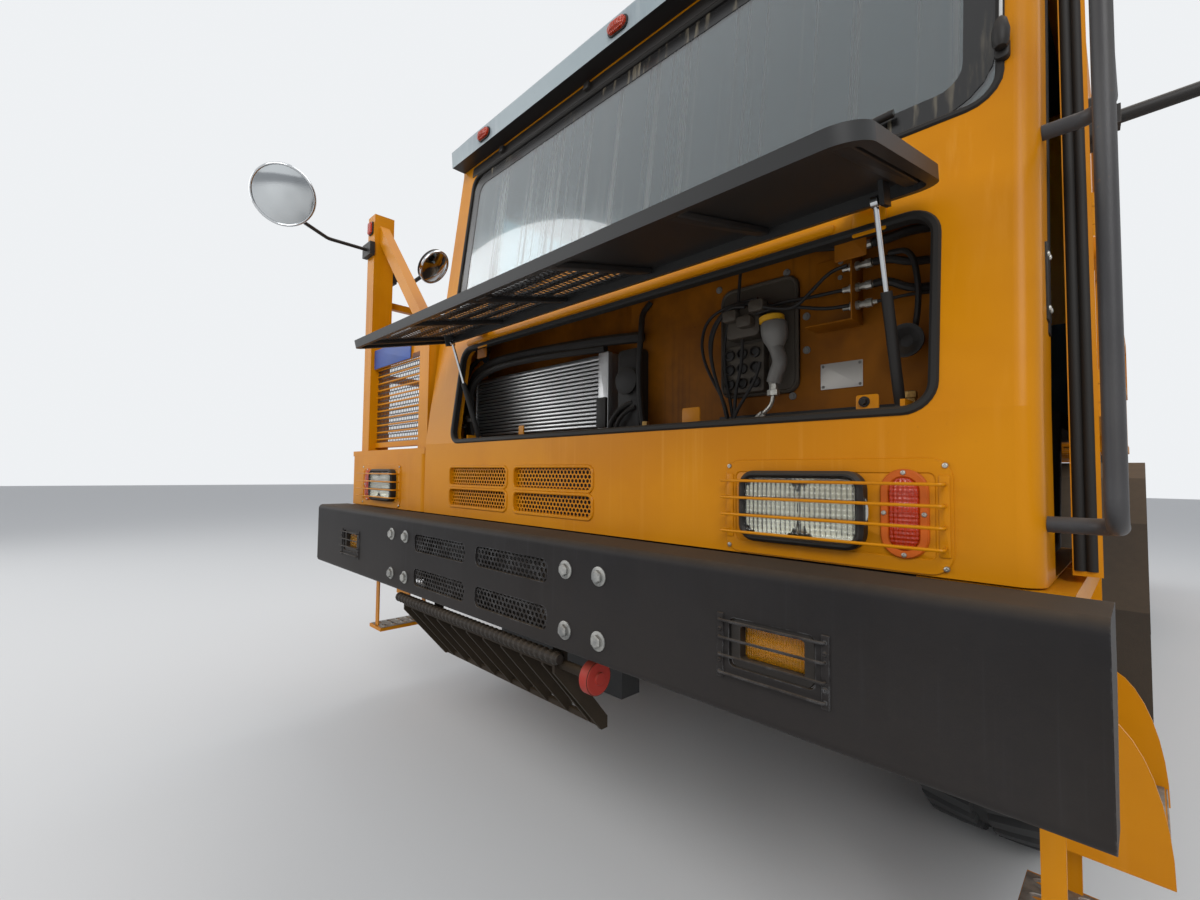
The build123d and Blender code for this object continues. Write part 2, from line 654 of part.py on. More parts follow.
def cab_glass():
    """Windscreen, right window and rear window, one pane in each opening."""
    gap = GLASS_GAP
    middle = CAB_RIGHT_X + CAB_WALL / 2
    right = round_x((560 + gap, 1500 - gap), (2200 + gap, 2900 - gap), (middle - 4, middle + 4), 70)
    middle = CAB_REAR_Y - CAB_WALL / 2
    rear = round_y((-150 + gap, 1080 - gap), (2300 + gap, 2880 - gap), (middle - 4, middle + 4), 70)
    return [glass_slab(), right, rear]


def driver_seat():
    """The driver's seat: a sprung base, cushion, backrest and headrest."""
    floor = HIGH_FLOOR_Z + FLOOR_THICK
    base = block((960, 1340), (1180, 1560), (floor, floor + 190))
    cushion = round_z((900, 1400), (1120, 1620), (floor + 190 + SEAT_GAP, floor + 310), 60)
    back = Pos(1150, 1680, floor + 330) * Rot(-8, 0, 0) * round_y((-240, 240), (0, 620), (-50, 60), 60)
    head = Pos(1150, 1730, floor + 960) * Rot(-8, 0, 0) * round_y((-130, 130), (0, 170), (-40, 50), 40)
    head += Pos(1150, 1730, floor + 930) * Rot(-8, 0, 0) * block((-60, 60), (-6, 6), (0, 60))
    frame = block((1000, 1300), (1625, 1665), (floor + 40, floor + 380))
    frame += block((1000, 1300), (1550, 1665), (floor + 20, floor + 60))
    return [base + frame + back + head, cushion]


def dashboard():
    """The dashboard across the cab, with the steering column, wheel and pedals."""
    inner = (CAB_RIGHT_X + CAB_WALL + 5, CAB_LEFT_X - CAB_WALL - 5)
    start = FIREWALL_Y + FIREWALL_THICK
    board = prism_x(
        [(start, 1880), (start, COWL_Z + 30), (start + 150, COWL_Z + 50), (start + 260, COWL_Z - 10),
         (start + 270, COWL_Z - 150), (start + 120, 1880)],
        inner,
    )
    column_x = 1130
    hub = Vector(column_x, 960, 2210)
    root = Vector(column_x, start + 180, 1990)
    board += rod(tuple(root), tuple(hub), 34)
    wheel_plane = Plane(origin=hub, z_dir=hub - root)
    wheel = wheel_plane * Torus(225, 15)
    for turn in (90, 210, 330):
        wheel += wheel_plane * Rot(0, 0, turn) * Pos(115, 0, 0) * Box(205, 36, 12)
    board += wheel
    return board


# Platform and outside fittings

def platform_box():
    """The box beside the cab and the deck that runs back over the wheel."""
    body = block(PLATFORM_X, (CAB_FRONT_Y, PLATFORM_BOX_REAR), (CAB_BOTTOM, DECK_Z[0]))
    body = fillet(body.edges().filter_by(Axis.Z).filter_by(lambda e: e.center().Y < CAB_FRONT_Y + 1), 30)
    body += block(PLATFORM_X, (CAB_FRONT_Y + 3, PLATFORM_REAR), DECK_Z)
    return body


def platform_frame():
    """Posts, braces, rails and the wire screen on the platform."""
    deck = DECK_Z[1]
    y = (POST_FRONT_Y, POST_FRONT_Y + POST_DEPTH)
    middle = POST_FRONT_Y + POST_DEPTH / 2
    outer = (OUTER_POST_X, OUTER_POST_X + POST_WIDTH)
    inner = (INNER_POST_X, INNER_POST_X + POST_WIDTH)
    frame = block(outer, y, (deck, OUTER_POST_TOP)) + block(inner, y, (deck, INNER_POST_TOP))
    frame += block((outer[1], inner[0]), (middle - 30, middle + 30), (INNER_POST_TOP - 60, INNER_POST_TOP))
    frame += block((outer[1], inner[0]), (middle - 20, middle + 20), (deck + 20, deck + 50))
    frame += beam(
        (outer[1] - 45, middle, OUTER_POST_TOP - 70), (inner[0] + 50, middle, INNER_POST_TOP - 30),
        (0, 1, 0), 60, 70,
    )
    # wires of the screen
    count = 11
    for i in range(count):
        z = deck + 70 + i * (INNER_POST_TOP - 90 - deck - 70) / (count - 1)
        frame += rod_x((outer[1] - 5, inner[0] + 5), middle - 12, z, 5)
    # rear post and the rails that run back to it
    rear = (PLATFORM_REAR - 80, PLATFORM_REAR - 20)
    post = (PLATFORM_X[0] + 20, PLATFORM_X[0] + 80)
    frame += block(post, rear, (deck, 2560))
    for z in (2050, 2520):
        frame += beam(
            (outer[0] + 20, y[1] - 10, z), (post[0] + 30, rear[0] + 10, z), (0, 0, 1), 40, 40
        )
    return frame


def platform_plate():
    """The blank blue plate on the front of the platform's screen."""
    front = POST_FRONT_Y + POST_DEPTH / 2 - 30 - SEAT_GAP
    stay = block((-1480, -1020), (front - 8, front), (2120, 2150))
    return block((-1495, -1000), (front - 4, front), (2080, 2200)) + stay


def air_cleaner():
    """The air cleaner drum on its saddles, with its intake pipe and cap."""
    x, z, radius = -1180, 2250, 195
    drum = rod((x, 760, z), (x, 1480, z), radius)
    drum += rod((x, 735, z), (x, 760, z), radius - 25) + rod((x, 1480, z), (x, 1510, z), radius - 60)
    for y in (860, 1330):
        drum += block((x - 150, x + 150), (y, y + 50), (DECK_Z[1], z - 110))
    drum += rod((x, 1250, z), (x, 1250, z + 420), 70)
    drum += rod((x, 1250, z + 420), (x, 1250, z + 560), 130)
    return drum


def step_box(side):
    """The boarding steps between bumper and front wheel on one side."""
    inner, outer = STEP_INNER_X, STEP_OUTER_X
    front, rear = STEP_Y
    foot, waist = 640, 960
    # the cheeks' outer edge swells out below the bumper
    bulge = [
        (outer + STEP_FLARE * sin(radians(turn)), foot + (waist - foot) * cos(radians(turn)))
        for turn in range(10, 91, 10)
    ]
    outline = [(inner, CAB_BOTTOM), (outer, CAB_BOTTOM), (outer, waist + 10), *bulge, (STEP_LOW_X, foot)]
    outline += [(STEP_LOW_X, waist - 40), (inner, waist + 120)]
    step = block((inner, outer), (front, rear), (CAB_BOTTOM - 60, CAB_BOTTOM - 4))
    for y in (STEP_LOW_Y, rear - 8):
        step += prism_y(outline, (y, y + 8))
    # lower height, inner and outer reach of each tread
    for z, low, reach in ((660, STEP_LOW_X + 5, outer + STEP_FLARE - 4), (950, STEP_LOW_X + 5, outer + 8)):
        step += block((low, reach), (STEP_LOW_Y, rear), (z, z + 25))
    # the small hanging tread and its two straps
    for y, top in ((330, CAB_BOTTOM - 56), (640, 664)):
        step += block((STEP_LOW_X + 5, STEP_LOW_X + 45), (y, y + 8), (470, top))
    step += block((STEP_LOW_X - 60, outer + 30), (320, 658), (470, 490))
    return step if side > 0 else mirror(step, about=Plane.YZ)


def fender(hung_at):
    """The left rubber arch over the front wheel, hung at a height."""
    y0 = AXLE_FRONT
    # reach before and behind the axle, and height over it, as shares of the tyre's radius
    shares = [
        (-1.157, -0.195), (-1.157, 0.114), (-1.074, 0.45), (-0.886, 0.758), (-0.698, 0.933), (-0.51, 1.0),
        (0.51, 1.0), (0.698, 0.933), (0.886, 0.758), (1.074, 0.45), (1.157, 0.114), (1.157, -0.06),
    ]
    over = TYRE_RADIUS + ARCH_CLEAR
    path = [(y0 + y * TYRE_RADIUS, TYRE_RADIUS + z * over) for y, z in shares]
    inside = make_face(Polyline(*path, close=True))
    band = offset(inside, 10) - inside
    front_low, rear_low = TYRE_RADIUS - 143, TYRE_RADIUS - 33
    reach = 1.342 * TYRE_RADIUS
    low = [(y0 - reach, 0), (y0 + reach, 0), (y0 + reach, rear_low), (y0 - reach, front_low)]
    band -= make_face(Polyline(*low, close=True))
    arch = extrude(Plane.YZ.offset(FENDER_X[0]) * band, FENDER_X[1] - FENDER_X[0])
    # hangers up to the cab or the deck, and the tube out from the rail behind the wheel
    top = TYRE_RADIUS + over
    for y in (1500, 1850):
        arch += block((1600, 1680), (y, y + 60), (top + 3, hung_at - SEAT_GAP))
    stay = (y0 + 0.819 * TYRE_RADIUS, TYRE_RADIUS + 0.85 * over)
    return arch + rod_x((RAIL_OUTER_X + SEAT_GAP, FENDER_X[1] - 20), *stay, 22)


def front_fenders():
    """Rubber arches over both front wheels."""
    return [fender(CAB_ARCH_Z), mirror(fender(DECK_Z[0]), about=Plane.YZ)]


def rail_foot_y(z):
    """Where an arm of the handrail meets the cab's side, just behind the front corner."""
    return front_face_y(z) + CAB_WALL + 3


def handrail():
    """The bent tube up the cab's left front corner, with three arms to the cab."""
    x, y, radius, bend = 1757, 110, 15, 45
    face = CAB_LEFT_X
    low, middle, high, join = 1380, 2162, 2960, 1900
    foot, waist, head = (rail_foot_y(z) for z in (low, middle, high))
    rail = pipe([(face, foot, low), (x, foot, low), (x, y, low + 12), (x, y, join)], bend, radius)
    rail += pipe([(x, y, join), (x, y, high), (x, head, high + 10), (face, head, high + 10)], bend, radius)
    return rail + pipe([(face, waist, middle), (x, waist, middle), (x, y, middle)], bend, radius)


def round_mirror(centre, normal, radius):
    """A dished round mirror head with a rim, facing along its normal."""
    plane = Plane(origin=centre, z_dir=normal)
    back = Pos(0, 0, -36) * Cone(radius * 0.35, radius * 0.9, 18)
    return plane * (Pos(0, 0, -14) * Cylinder(radius, 28) + back)


def right_mirrors():
    """Two round mirrors on bent arms, clamped to the platform's outer post."""
    post = OUTER_POST_X + POST_WIDTH / 2
    clamp_y = POST_FRONT_Y
    arm = block((post - 60, post + 60), (clamp_y - 30, clamp_y - SEAT_GAP), (2790, 2870))
    arm += pipe([(post, clamp_y - 25, 2830), (post, -60, 2830), (-1290, -330, 2800)], 60, 10)
    arm += round_mirror((-1190, -385, 2835), (0.75, -0.35, -0.4), 145)
    arm += rod((-1290, -330, 2800), (-1216, -366, 2824), 10)
    rear = clamp_y + POST_DEPTH + SEAT_GAP
    second = block((post - 40, post + 40), (rear, rear + 30), (2650, 2730))
    bend = [(post, rear + 20, 2690), (post, rear + 140, 2690), (post + 240, rear + 150, 2718)]
    second += pipe(bend, 50, 12)
    second += round_mirror((post + 300, rear + 152, 2722), (0.6, 0.3, -0.5), 105)
    second += rod((post + 240, rear + 150, 2718), (post + 285, rear + 151, 2721), 12)
    return [arm, second]


def off_front(x, z, out):
    """A point some way out from the leaning part of the cab's front, square to it."""
    rise, run = CAB_TOP - CAB_KNEE_Z, CAB_HEADER_Y - CAB_FRONT_Y
    length = hypot(rise, run)
    return (x, front_face_y(z) - out * rise / length, z + out * run / length)


def wipers():
    """Two wiper arms with their blades on the windscreen's lower edge."""
    parts = []
    base = SCREEN_Z[0] - 42
    for pivot_x, tip_x in ((-250, 330), (620, 1200)):
        wiper = rod(off_front(pivot_x, base, SEAT_GAP), off_front(pivot_x, base, 26), 18)
        wiper += rod(off_front(pivot_x, base, 20), off_front(tip_x, base + 78, 16), 7)
        wiper += rod(off_front(tip_x - 330, base + 62, 12), off_front(tip_x + 200, base + 96, 12), 9)
        parts.append(wiper)
    return parts


def head_lamp(side):
    """A head lamp with its marker lamp and bezel plate on the front panel."""
    x_plate = sorted((side * 998, side * 1525))
    x_lamp = sorted((side * 1055, side * 1360))
    x_marker = sorted((side * 1387, side * 1480))
    front = CAB_FRONT_Y - SEAT_GAP
    lamp = round_y(x_plate, (1266, 1505), (front - 5, front), 8)
    lamp += round_y(x_lamp, (1302, 1476), (front - 34, front), 22)
    lamp += round_y(x_marker, (1294, 1482), (front - 24, front), 45)
    # guard bars over the lamp and the end strips that carry them
    for z in (1330, 1370, 1410, 1450):
        lamp += rod_x(x_plate, front - 46, z, 4)
    for x in x_plate:
        edge = sorted((x, x - 10 if x == x_plate[1] else x + 10))
        lamp += block(edge, (front - 50, front), (1322, 1458))
    return lamp


def head_lamps():
    """Both head lamps, one on the cab and one on the platform box."""
    return [head_lamp(1), head_lamp(-1)]


def fog_lamps():
    """Fog lamps in the bumper's pockets, each behind a small guard."""
    lamps = []
    for side in (-1, 1):
        x = sorted((side * 1119, side * 1314))
        lamp = round_y(x, (1035, 1140), (4, 60), 12)
        guard_x = sorted((side * 1095, side * 1340))
        for z in (1012, 1056, 1100, 1144):
            lamp += rod_x(guard_x, -12, z, 4)
        for edge in guard_x:
            lamp += block((edge - 4, edge + 4), (-14, -SEAT_GAP), (1008, 1148))
        lamp += block((min(x) + 90, min(x) + 98), (-12, 6), (1052, 1060))
        lamps.append(lamp)
    return lamps


def marker_lamps():
    """Marker domes on the visor, the marker on the platform post and the roof work lamp."""
    lamps = []
    low, high = VISOR_FACE
    lean = Vector(0, low[1] - high[1], high[0] - low[0]).normalized()
    for x in (-410, 480, 1370):
        middle = Vector(x, (low[0] + high[0]) / 2, (low[1] + high[1]) / 2) + lean * SEAT_GAP
        lamps.append(extrude(Plane(origin=middle, x_dir=(1, 0, 0), z_dir=lean) * SlotOverall(90, 44), 26))
    # the square work lamp that looks over the visor
    work = round_y((-285, -180), (3255, 3362), (450, 520), 10)
    work += block((-250, -215), (470, 495), (3201.4, 3260))
    # the small marker on the platform's outer post
    post = (OUTER_POST_X + 20, OUTER_POST_X + POST_WIDTH - 20)
    front = POST_FRONT_Y - SEAT_GAP
    return [*lamps, work, round_y(post, (2930, 3010), (front - 22, front), 12)]


# Moving pieces

def stepped_ring(section, sides, centre):
    """A section carried round an axis along X in flat steps; its radii are those of the flats' middles."""
    def spot(place, radius, step):
        turn = 2 * pi * (step + 0.5) / sides
        reach = radius / cos(pi / sides)
        return (centre[0] + place, centre[1] + reach * sin(turn), centre[2] + reach * cos(turn))

    faces = []
    for step in range(sides):
        for here, there in zip(section, section[1:] + section[:1]):
            corners = [spot(*here, step), spot(*there, step), spot(*there, step + 1), spot(*here, step + 1)]
            faces.append(Face(Wire.make_polygon(corners)))
    return Solid(Shell(faces))


def tyre(x, y):
    """A tyre whose beads sit on the rim between its flanges."""
    half, bead = TYRE_WIDTH / 2, RIM_HALF_WIDTH - FLANGE_THICK
    profile = [
        (bead, RIM_SEAT_RADIUS), (bead, FLANGE_RADIUS + 4), (half, SIDEWALL_RADIUS),
        (half - SHOULDER_DROP, TYRE_RADIUS),
    ]
    section = profile + [(-place, radius) for place, radius in reversed(profile)]
    return stepped_ring(section, TYRE_SIDES, (x, y, TYRE_RADIUS))


def rim(disc, hub_start, hub_end, bore, cap):
    """A wheel's rim, disc and hub turned about X; disc is the place of the disc along X."""
    edge, seat = RIM_HALF_WIDTH, RIM_SEAT_RADIUS - SEAT_GAP
    well = edge - FLANGE_THICK + SEAT_GAP
    barrel = [
        (-edge, FLANGE_RADIUS), (-well, FLANGE_RADIUS), (-well, seat), (well, seat), (well, FLANGE_RADIUS),
        (edge, FLANGE_RADIUS), (edge, RIM_BORE_RADIUS), (-edge, RIM_BORE_RADIUS),
    ]
    dish = [
        (disc - 8, RIM_BORE_RADIUS + 1), (disc + 8, RIM_BORE_RADIUS + 1), (disc + 24, 230), (disc + 24, 145),
        (disc + 8, 145), (disc + 8, 230),
    ]
    hub = [
        (hub_start, bore + PIN_FIT), (hub_start, 150), (disc, 190), (disc + 36, 190), (disc + 36, 150),
        (hub_end, 120), (hub_end + cap, 90), (hub_end + cap, 0), (hub_end - 20, 0),
        (hub_end - 20, bore + PIN_FIT),
    ]
    return barrel, dish, hub


def front_rim(side):
    """The front wheel's rim with its disc outboard and a hub over the spindle."""
    x = side * FRONT_WHEEL_X
    shape = None
    for points in rim(60, -60, 130, 60, 20):
        piece = lathe_x([(side * a, r) for a, r in points], (x, AXLE_FRONT, TYRE_RADIUS))
        shape = piece if shape is None else shape + piece
    return hand_holes(shape, x + side * 72, AXLE_FRONT)


def hand_holes(shape, x, y):
    """The ring of round holes through a wheel's disc."""
    for turn in range(8):
        a = radians(45 * turn)
        shape -= rod_x((x - 60, x + 60), y + 258 * sin(a), TYRE_RADIUS + 258 * cos(a), 26)
    return shape


def twin_rims(side, y):
    """Two rims back to back on one drive hub over the axle's stub."""
    shape = None
    outer = rim(-100, -100, -20, 88, 20)
    inner = rim(110, 60, 140, 88, 20)
    for x, profile in ((TWIN_OUTER_X, outer[:2]), (TWIN_INNER_X, inner[:2])):
        for points in profile:
            piece = lathe_x([(side * a, r) for a, r in points], (side * x, y, TYRE_RADIUS))
            shape = piece if shape is None else shape + piece
    start, end = TWIN_INNER_X + 100, TWIN_OUTER_X - 60
    spacer = [(start, 240), (end, 240), (end, 150), (start, 150)]
    shape += lathe_x([(side * a, r) for a, r in spacer], (0, y, TYRE_RADIUS))
    stub_end, bore = 1300, 88 + PIN_FIT
    hub = [(790, bore), (790, 200), (900, 160), (start, 160), (end, 175), (1600, 165), (1660, 120),
           (1660, 0), (stub_end + 10, 0), (stub_end + 10, bore)]
    shape += lathe_x([(side * a, r) for a, r in hub], (0, y, TYRE_RADIUS))
    return shape


def twin_tyres(side, y):
    """The two tyres of a twin wheel."""
    return [tyre(side * TWIN_OUTER_X, y), tyre(side * TWIN_INNER_X, y)]


def knuckle(side):
    """A steering knuckle: a yoke round the king pin, the wheel's spindle and the steering arm."""
    x = side * KINGPIN_X
    low, high = 690, 800
    yoke = rod((x, AXLE_FRONT, high + 2), (x, AXLE_FRONT, 870), 62)
    yoke += rod((x, AXLE_FRONT, 620), (x, AXLE_FRONT, low - 2), 62)
    cheek = sorted((x + side * 72, x + side * 105))
    yoke += block(cheek, (AXLE_FRONT - 62, AXLE_FRONT + 62), (620, 870))
    for z in ((high + 2, 870), (620, low - 2)):
        yoke += block(sorted((x, x + side * 80)), (AXLE_FRONT - 55, AXLE_FRONT + 55), z)
    yoke -= rod((x, AXLE_FRONT, 600), (x, AXLE_FRONT, 900), 26 + PIN_FIT)
    yoke += rod_x(sorted((x + side * 100, side * (FRONT_WHEEL_X + 100))), AXLE_FRONT, TYRE_RADIUS, 60)
    yoke += block((x - 25, x + 25), (AXLE_FRONT, AXLE_FRONT + ARM_Y + 24), (620, 645))
    yoke -= rod((x, AXLE_FRONT, 600), (x, AXLE_FRONT, 900), 26 + PIN_FIT)
    yoke += rod((x, AXLE_FRONT + ARM_Y, ARM_Z - 30), (x, AXLE_FRONT + ARM_Y, 622), STUD_RADIUS)
    return yoke


def tie_rod():
    """The rod that joins the two steering arms, with a socket at each end."""
    y = AXLE_FRONT + ARM_Y
    bar = rod_x((-KINGPIN_X, KINGPIN_X), y, ARM_Z - 20, 22)
    for x in (-KINGPIN_X, KINGPIN_X):
        bar += rod((x, y, ARM_Z - 45), (x, y, ARM_Z + 11), 26)
        bar -= rod((x, y, ARM_Z - 31), (x, y, ARM_Z + 20), STUD_RADIUS + PIN_FIT)
    return bar


def door_place(shape):
    """The door turned from shut to ajar about its hinge line."""
    turn = Pos(DOOR_HINGE_X, DOOR_HINGE_Y, 0) * Rot(0, 0, DOOR_AJAR) * Pos(-DOOR_HINGE_X, -DOOR_HINGE_Y, 0)
    return turn * shape


def door_window(gap):
    """The door's window as a Y-Z outline, smaller all round by the gap given."""
    low, high = DOOR_WINDOW_Z[0] + gap, DOOR_WINDOW_Z[1] - gap
    front = 90 + gap
    return [(door_front(low) + front, low), (DOOR_Y[1] - front, low), (DOOR_Y[1] - front, high),
            (door_front(high) + front, high)]


def door_shell():
    """The driver's door with its window hole, handle and hinge barrels."""
    low, high = DOOR_Y
    x = (CAB_LEFT_X - CAB_WALL, CAB_LEFT_X)
    shell = prism_x(
        [
            (low, DOOR_Z[0]), (CAB_ARCH_Y - 5, DOOR_Z[0]), (CAB_ARCH_TOP_Y - 5, CAB_ARCH_Z + 12),
            (high, CAB_ARCH_Z + 12), (high, DOOR_Z[1]), (door_front(DOOR_Z[1]), DOOR_Z[1]),
            (low, CAB_KNEE_Z),
        ],
        x,
    )
    window = prism_x(door_window(0), (x[0] - 10, x[1] + 10))
    window = fillet(window.edges().filter_by(Axis.X), 60)
    shell -= window
    shell -= round_x((low + 120, high - 150), (1640, 2040), (x[0] - 5, x[0] + 25), 40)
    shell += round_x((low + 90, low + 210), (1930, 1980), (x[1] - 1, x[1] + 26), 20)
    for z in DOOR_HINGE_Z:
        for way in (-1, 1):
            barrel = sorted((z + way * 32, z + way * 78))
            pin_x, pin_y = DOOR_HINGE_X, DOOR_HINGE_Y
            shell += rod((pin_x, pin_y, barrel[0]), (pin_x, pin_y, barrel[1]), 13)
            leaf = [(x[1] - 3, high - 70), (x[1] - 3, high - 3), (pin_x - 3, pin_y + 3),
                    (pin_x + 6, pin_y - 8), (x[1] + 8, high - 70)]
            shell += prism_z(leaf, barrel)
    return door_place(shell)


def door_glass():
    """The pane in the door's window."""
    middle = CAB_LEFT_X - CAB_WALL / 2
    pane = prism_x(door_window(GLASS_GAP), (middle - 4, middle + 4))
    return door_place(fillet(pane.edges().filter_by(Axis.X), 60))


def left_mirrors():
    """The mirror bracket on the door, its arm and the two mirror heads."""
    face = CAB_LEFT_X + SEAT_GAP
    bracket = round_x((430, 500), (2180, 2280), (face, face + 14), 15)
    bracket += block((face + 10, face + 50), (445, 485), (2210, 2250))
    bracket += pipe([(face + 40, 465, 2230), (2120, 560, 2300), (2120, 560, 2860)], 60, 14)
    bracket += round_y((2020, 2220), (2610, 2920), (578, 616), 40)
    bracket += round_y((2030, 2210), (2430, 2560), (578, 616), 35)
    for z in (2500, 2720):
        bracket += block((2105, 2135), (560, 580), (z - 15, z + 15))
    return door_place(bracket)


def hatch_plane():
    """The open hatch's own plane: X across, Y out from the hinge, Z towards the cab side."""
    droop = radians(HATCH_DROOP)
    return Plane(
        origin=(0, HATCH_HINGE_Y, HATCH_HINGE_Z), x_dir=(1, 0, 0), z_dir=(0, sin(droop), -cos(droop))
    )


def hatch_spot(y, z):
    """A place in the hatch's plane, given as reach from the hinge and depth towards the cab."""
    droop = radians(HATCH_DROOP)
    dy, dz = y - HATCH_HINGE_Y, z - HATCH_HINGE_Z
    return -dy * cos(droop) - dz * sin(droop), dy * sin(droop) - dz * cos(droop)


def hatch_panel():
    """The dished hatch with its slots, hinge knuckles and strut ears."""
    width = HATCH_X[1] - HATCH_X[0]
    length = HATCH_REACH[1] - HATCH_REACH[0]
    centre = ((HATCH_X[0] + HATCH_X[1]) / 2, (HATCH_REACH[0] + HATCH_REACH[1]) / 2)
    depth = HATCH_BACK - HATCH_FACE
    outline = Pos(centre[0], centre[1], HATCH_FACE) * RectangleRounded(width, length, HATCH_CORNER)
    hollow = Pos(centre[0], centre[1], HATCH_FACE + HATCH_SKIN) * RectangleRounded(
        width - 2 * 22, length - 2 * 22, HATCH_CORNER - 22
    )
    tray = extrude(outline, depth) - extrude(hollow, depth)
    # slots in columns and rows over the truck's right part of the hatch
    for column in range(3):
        x = HATCH_X[0] + 70 + column * 400
        for row in range(4):
            v = HATCH_REACH[0] + 75 + row * 92
            slot = Pos(x + 175, v + 30, HATCH_FACE - 5) * SlotOverall(350, 52)
            tray -= extrude(slot, 30)
    for x in (-330, 1330):
        for low in (x - 24, x + 44):
            lug = Pos(low + 10, HATCH_REACH[0] / 2 + 8, -6) * Rectangle(20, HATCH_REACH[0] + 26)
            tray += extrude(lug, 12)
            tray += rod_x((low, low + 20), 0, 0, 12)
        tray -= rod_x((x - 30, x + 70), 0, 0, HATCH_PIN_RADIUS + PIN_FIT)
    head = hatch_spot(*STRUT_HEAD)
    for x, way in zip(STRUT_X, (-1, 1)):
        ear = sorted((x + way * 14, x + way * 24))
        tray += extrude(
            Pos((ear[0] + ear[1]) / 2, head[0], HATCH_FACE + HATCH_SKIN - 1) * Rectangle(10, 44),
            head[1] + 14 - HATCH_FACE - HATCH_SKIN + 1,
        )
    return hatch_plane() * tray


def strut_axis():
    """The strut's length and unit direction from foot to head at rest."""
    dy, dz = STRUT_HEAD[0] - STRUT_FOOT[0], STRUT_HEAD[1] - STRUT_FOOT[1]
    length = hypot(dy, dz)
    return length, (dy / length, dz / length)


def along_strut(x, distance):
    """A point on a strut at a distance from its foot."""
    _, (dy, dz) = strut_axis()
    return (x, STRUT_FOOT[0] + dy * distance, STRUT_FOOT[1] + dz * distance)


def strut_barrels():
    """The lower tubes of both hatch struts, open at the top for their rods."""
    parts = []
    for x in STRUT_X:
        barrel = rod(along_strut(x, 8), along_strut(x, BARREL_REACH), STRUT_RADIUS)
        bore = STRUT_ROD_RADIUS + PIN_FIT
        barrel -= rod(along_strut(x, ROD_START - 100), along_strut(x, BARREL_REACH + 5), bore)
        barrel += rod_x((x - 7, x + 7), *STRUT_FOOT, 13)
        barrel -= rod_x((x - 20, x + 20), *STRUT_FOOT, 5 + PIN_FIT)
        parts.append(barrel)
    return parts


def strut_rods():
    """The rods of both hatch struts with their end eyes."""
    length, _ = strut_axis()
    parts = []
    for x in STRUT_X:
        bar = rod(along_strut(x, ROD_START), along_strut(x, length), STRUT_ROD_RADIUS)
        bar += rod_x((x - 7, x + 7), *STRUT_HEAD, 12)
        bar -= rod_x((x - 20, x + 20), *STRUT_HEAD, 5)
        parts.append(bar)
    return parts


def dump_floor():
    """The body's floor on its two long beams, cross ribs, hinge ears and hoist ears."""
    low, high = BODY_FLOOR_Z, BODY_FLOOR_Z + BODY_FLOOR_THICK
    inner = BODY_SIDE_X - BODY_SIDE_THICK - SEAT_GAP
    floor = block((-inner, inner), (BODY_FRONT + BODY_SIDE_THICK + SEAT_GAP, BODY_REAR), (low, high))
    for side in (-1, 1):
        beam_x = sorted((side * BEAM_X[0], side * BEAM_X[1]))
        floor += block(beam_x, (BODY_FRONT + 60, BEAM_END_Y), (BEAM_BOTTOM, low))
        ear_x = sorted((side * 515, side * 565))
        y, z = BED_PIN_Y, BED_PIN_Z
        ear = prism_x(
            [(y - 420, low), (y + 260, low), (y + 95, z), (y + 60, z - 74), (y - 60, z - 74), (y - 95, z)],
            ear_x,
        )
        floor += ear - rod_x((ear_x[0] - 5, ear_x[1] + 5), y, z, BED_PIN_RADIUS + PIN_FIT)
        for x in (side * HOIST_X - 82, side * HOIST_X + 62):
            floor += prism_x(
                [(HOIST_Y - 140, low), (HOIST_Y + 140, low), (HOIST_Y + 60, HOIST_HEAD_Z - 60),
                 (HOIST_Y - 60, HOIST_HEAD_Z - 60)],
                (x, x + 20),
            )
    # cross ribs from the beams out to the sides, and between the beams at the ends
    y = BODY_FRONT + 150
    while y < BODY_REAR - 100:
        for side in (-1, 1):
            floor += block(sorted((side * BEAM_X[1], side * BODY_SIDE_X)), (y, y + 80), (low - 110, low))
        y += 560
    for y in (BODY_FRONT + 60, BED_PIN_Y - 330, BODY_REAR - 90):
        floor += block((-BEAM_X[0], BEAM_X[0]), (y, y + 90), (low - 160, low))
    floor += block((-BODY_SIDE_X, BODY_SIDE_X), (BODY_REAR - 90, BODY_REAR), (low - 110, low))
    return floor


def dump_side(side):
    """One side of the body: a plate stiffened by rails and closely set ribs."""
    base = BODY_FLOOR_Z + SEAT_GAP
    inner, skin, outer = BODY_SIDE_X - BODY_SIDE_THICK, BODY_SIDE_X, BODY_RIB_X
    wall = block((inner, skin), (BODY_FRONT, BODY_REAR), (base, BODY_TOP_Z))
    # low and high edge of each long rail
    for low, high in ((base, base + 90), (BODY_MID_Z - 45, BODY_MID_Z + 45), (BODY_TOP_Z - 130, BODY_TOP_Z)):
        wall += block((skin, outer), (BODY_FRONT, BODY_REAR), (low, high))
    count = 27
    pitch = (BODY_REAR - BODY_FRONT - 100) / (count - 1)
    for i in range(count):
        y = BODY_FRONT + 10 + i * pitch
        wall += block((skin, outer - 12), (y, y + 80), (base + 80, BODY_MID_Z - 40))
    for i in range(0, count, 13):
        y = BODY_FRONT + 10 + i * pitch
        wall += block((skin, outer), (y, y + 80), (BODY_MID_Z + 40, BODY_TOP_Z - 120))
    return wall if side > 0 else mirror(wall, about=Plane.YZ)


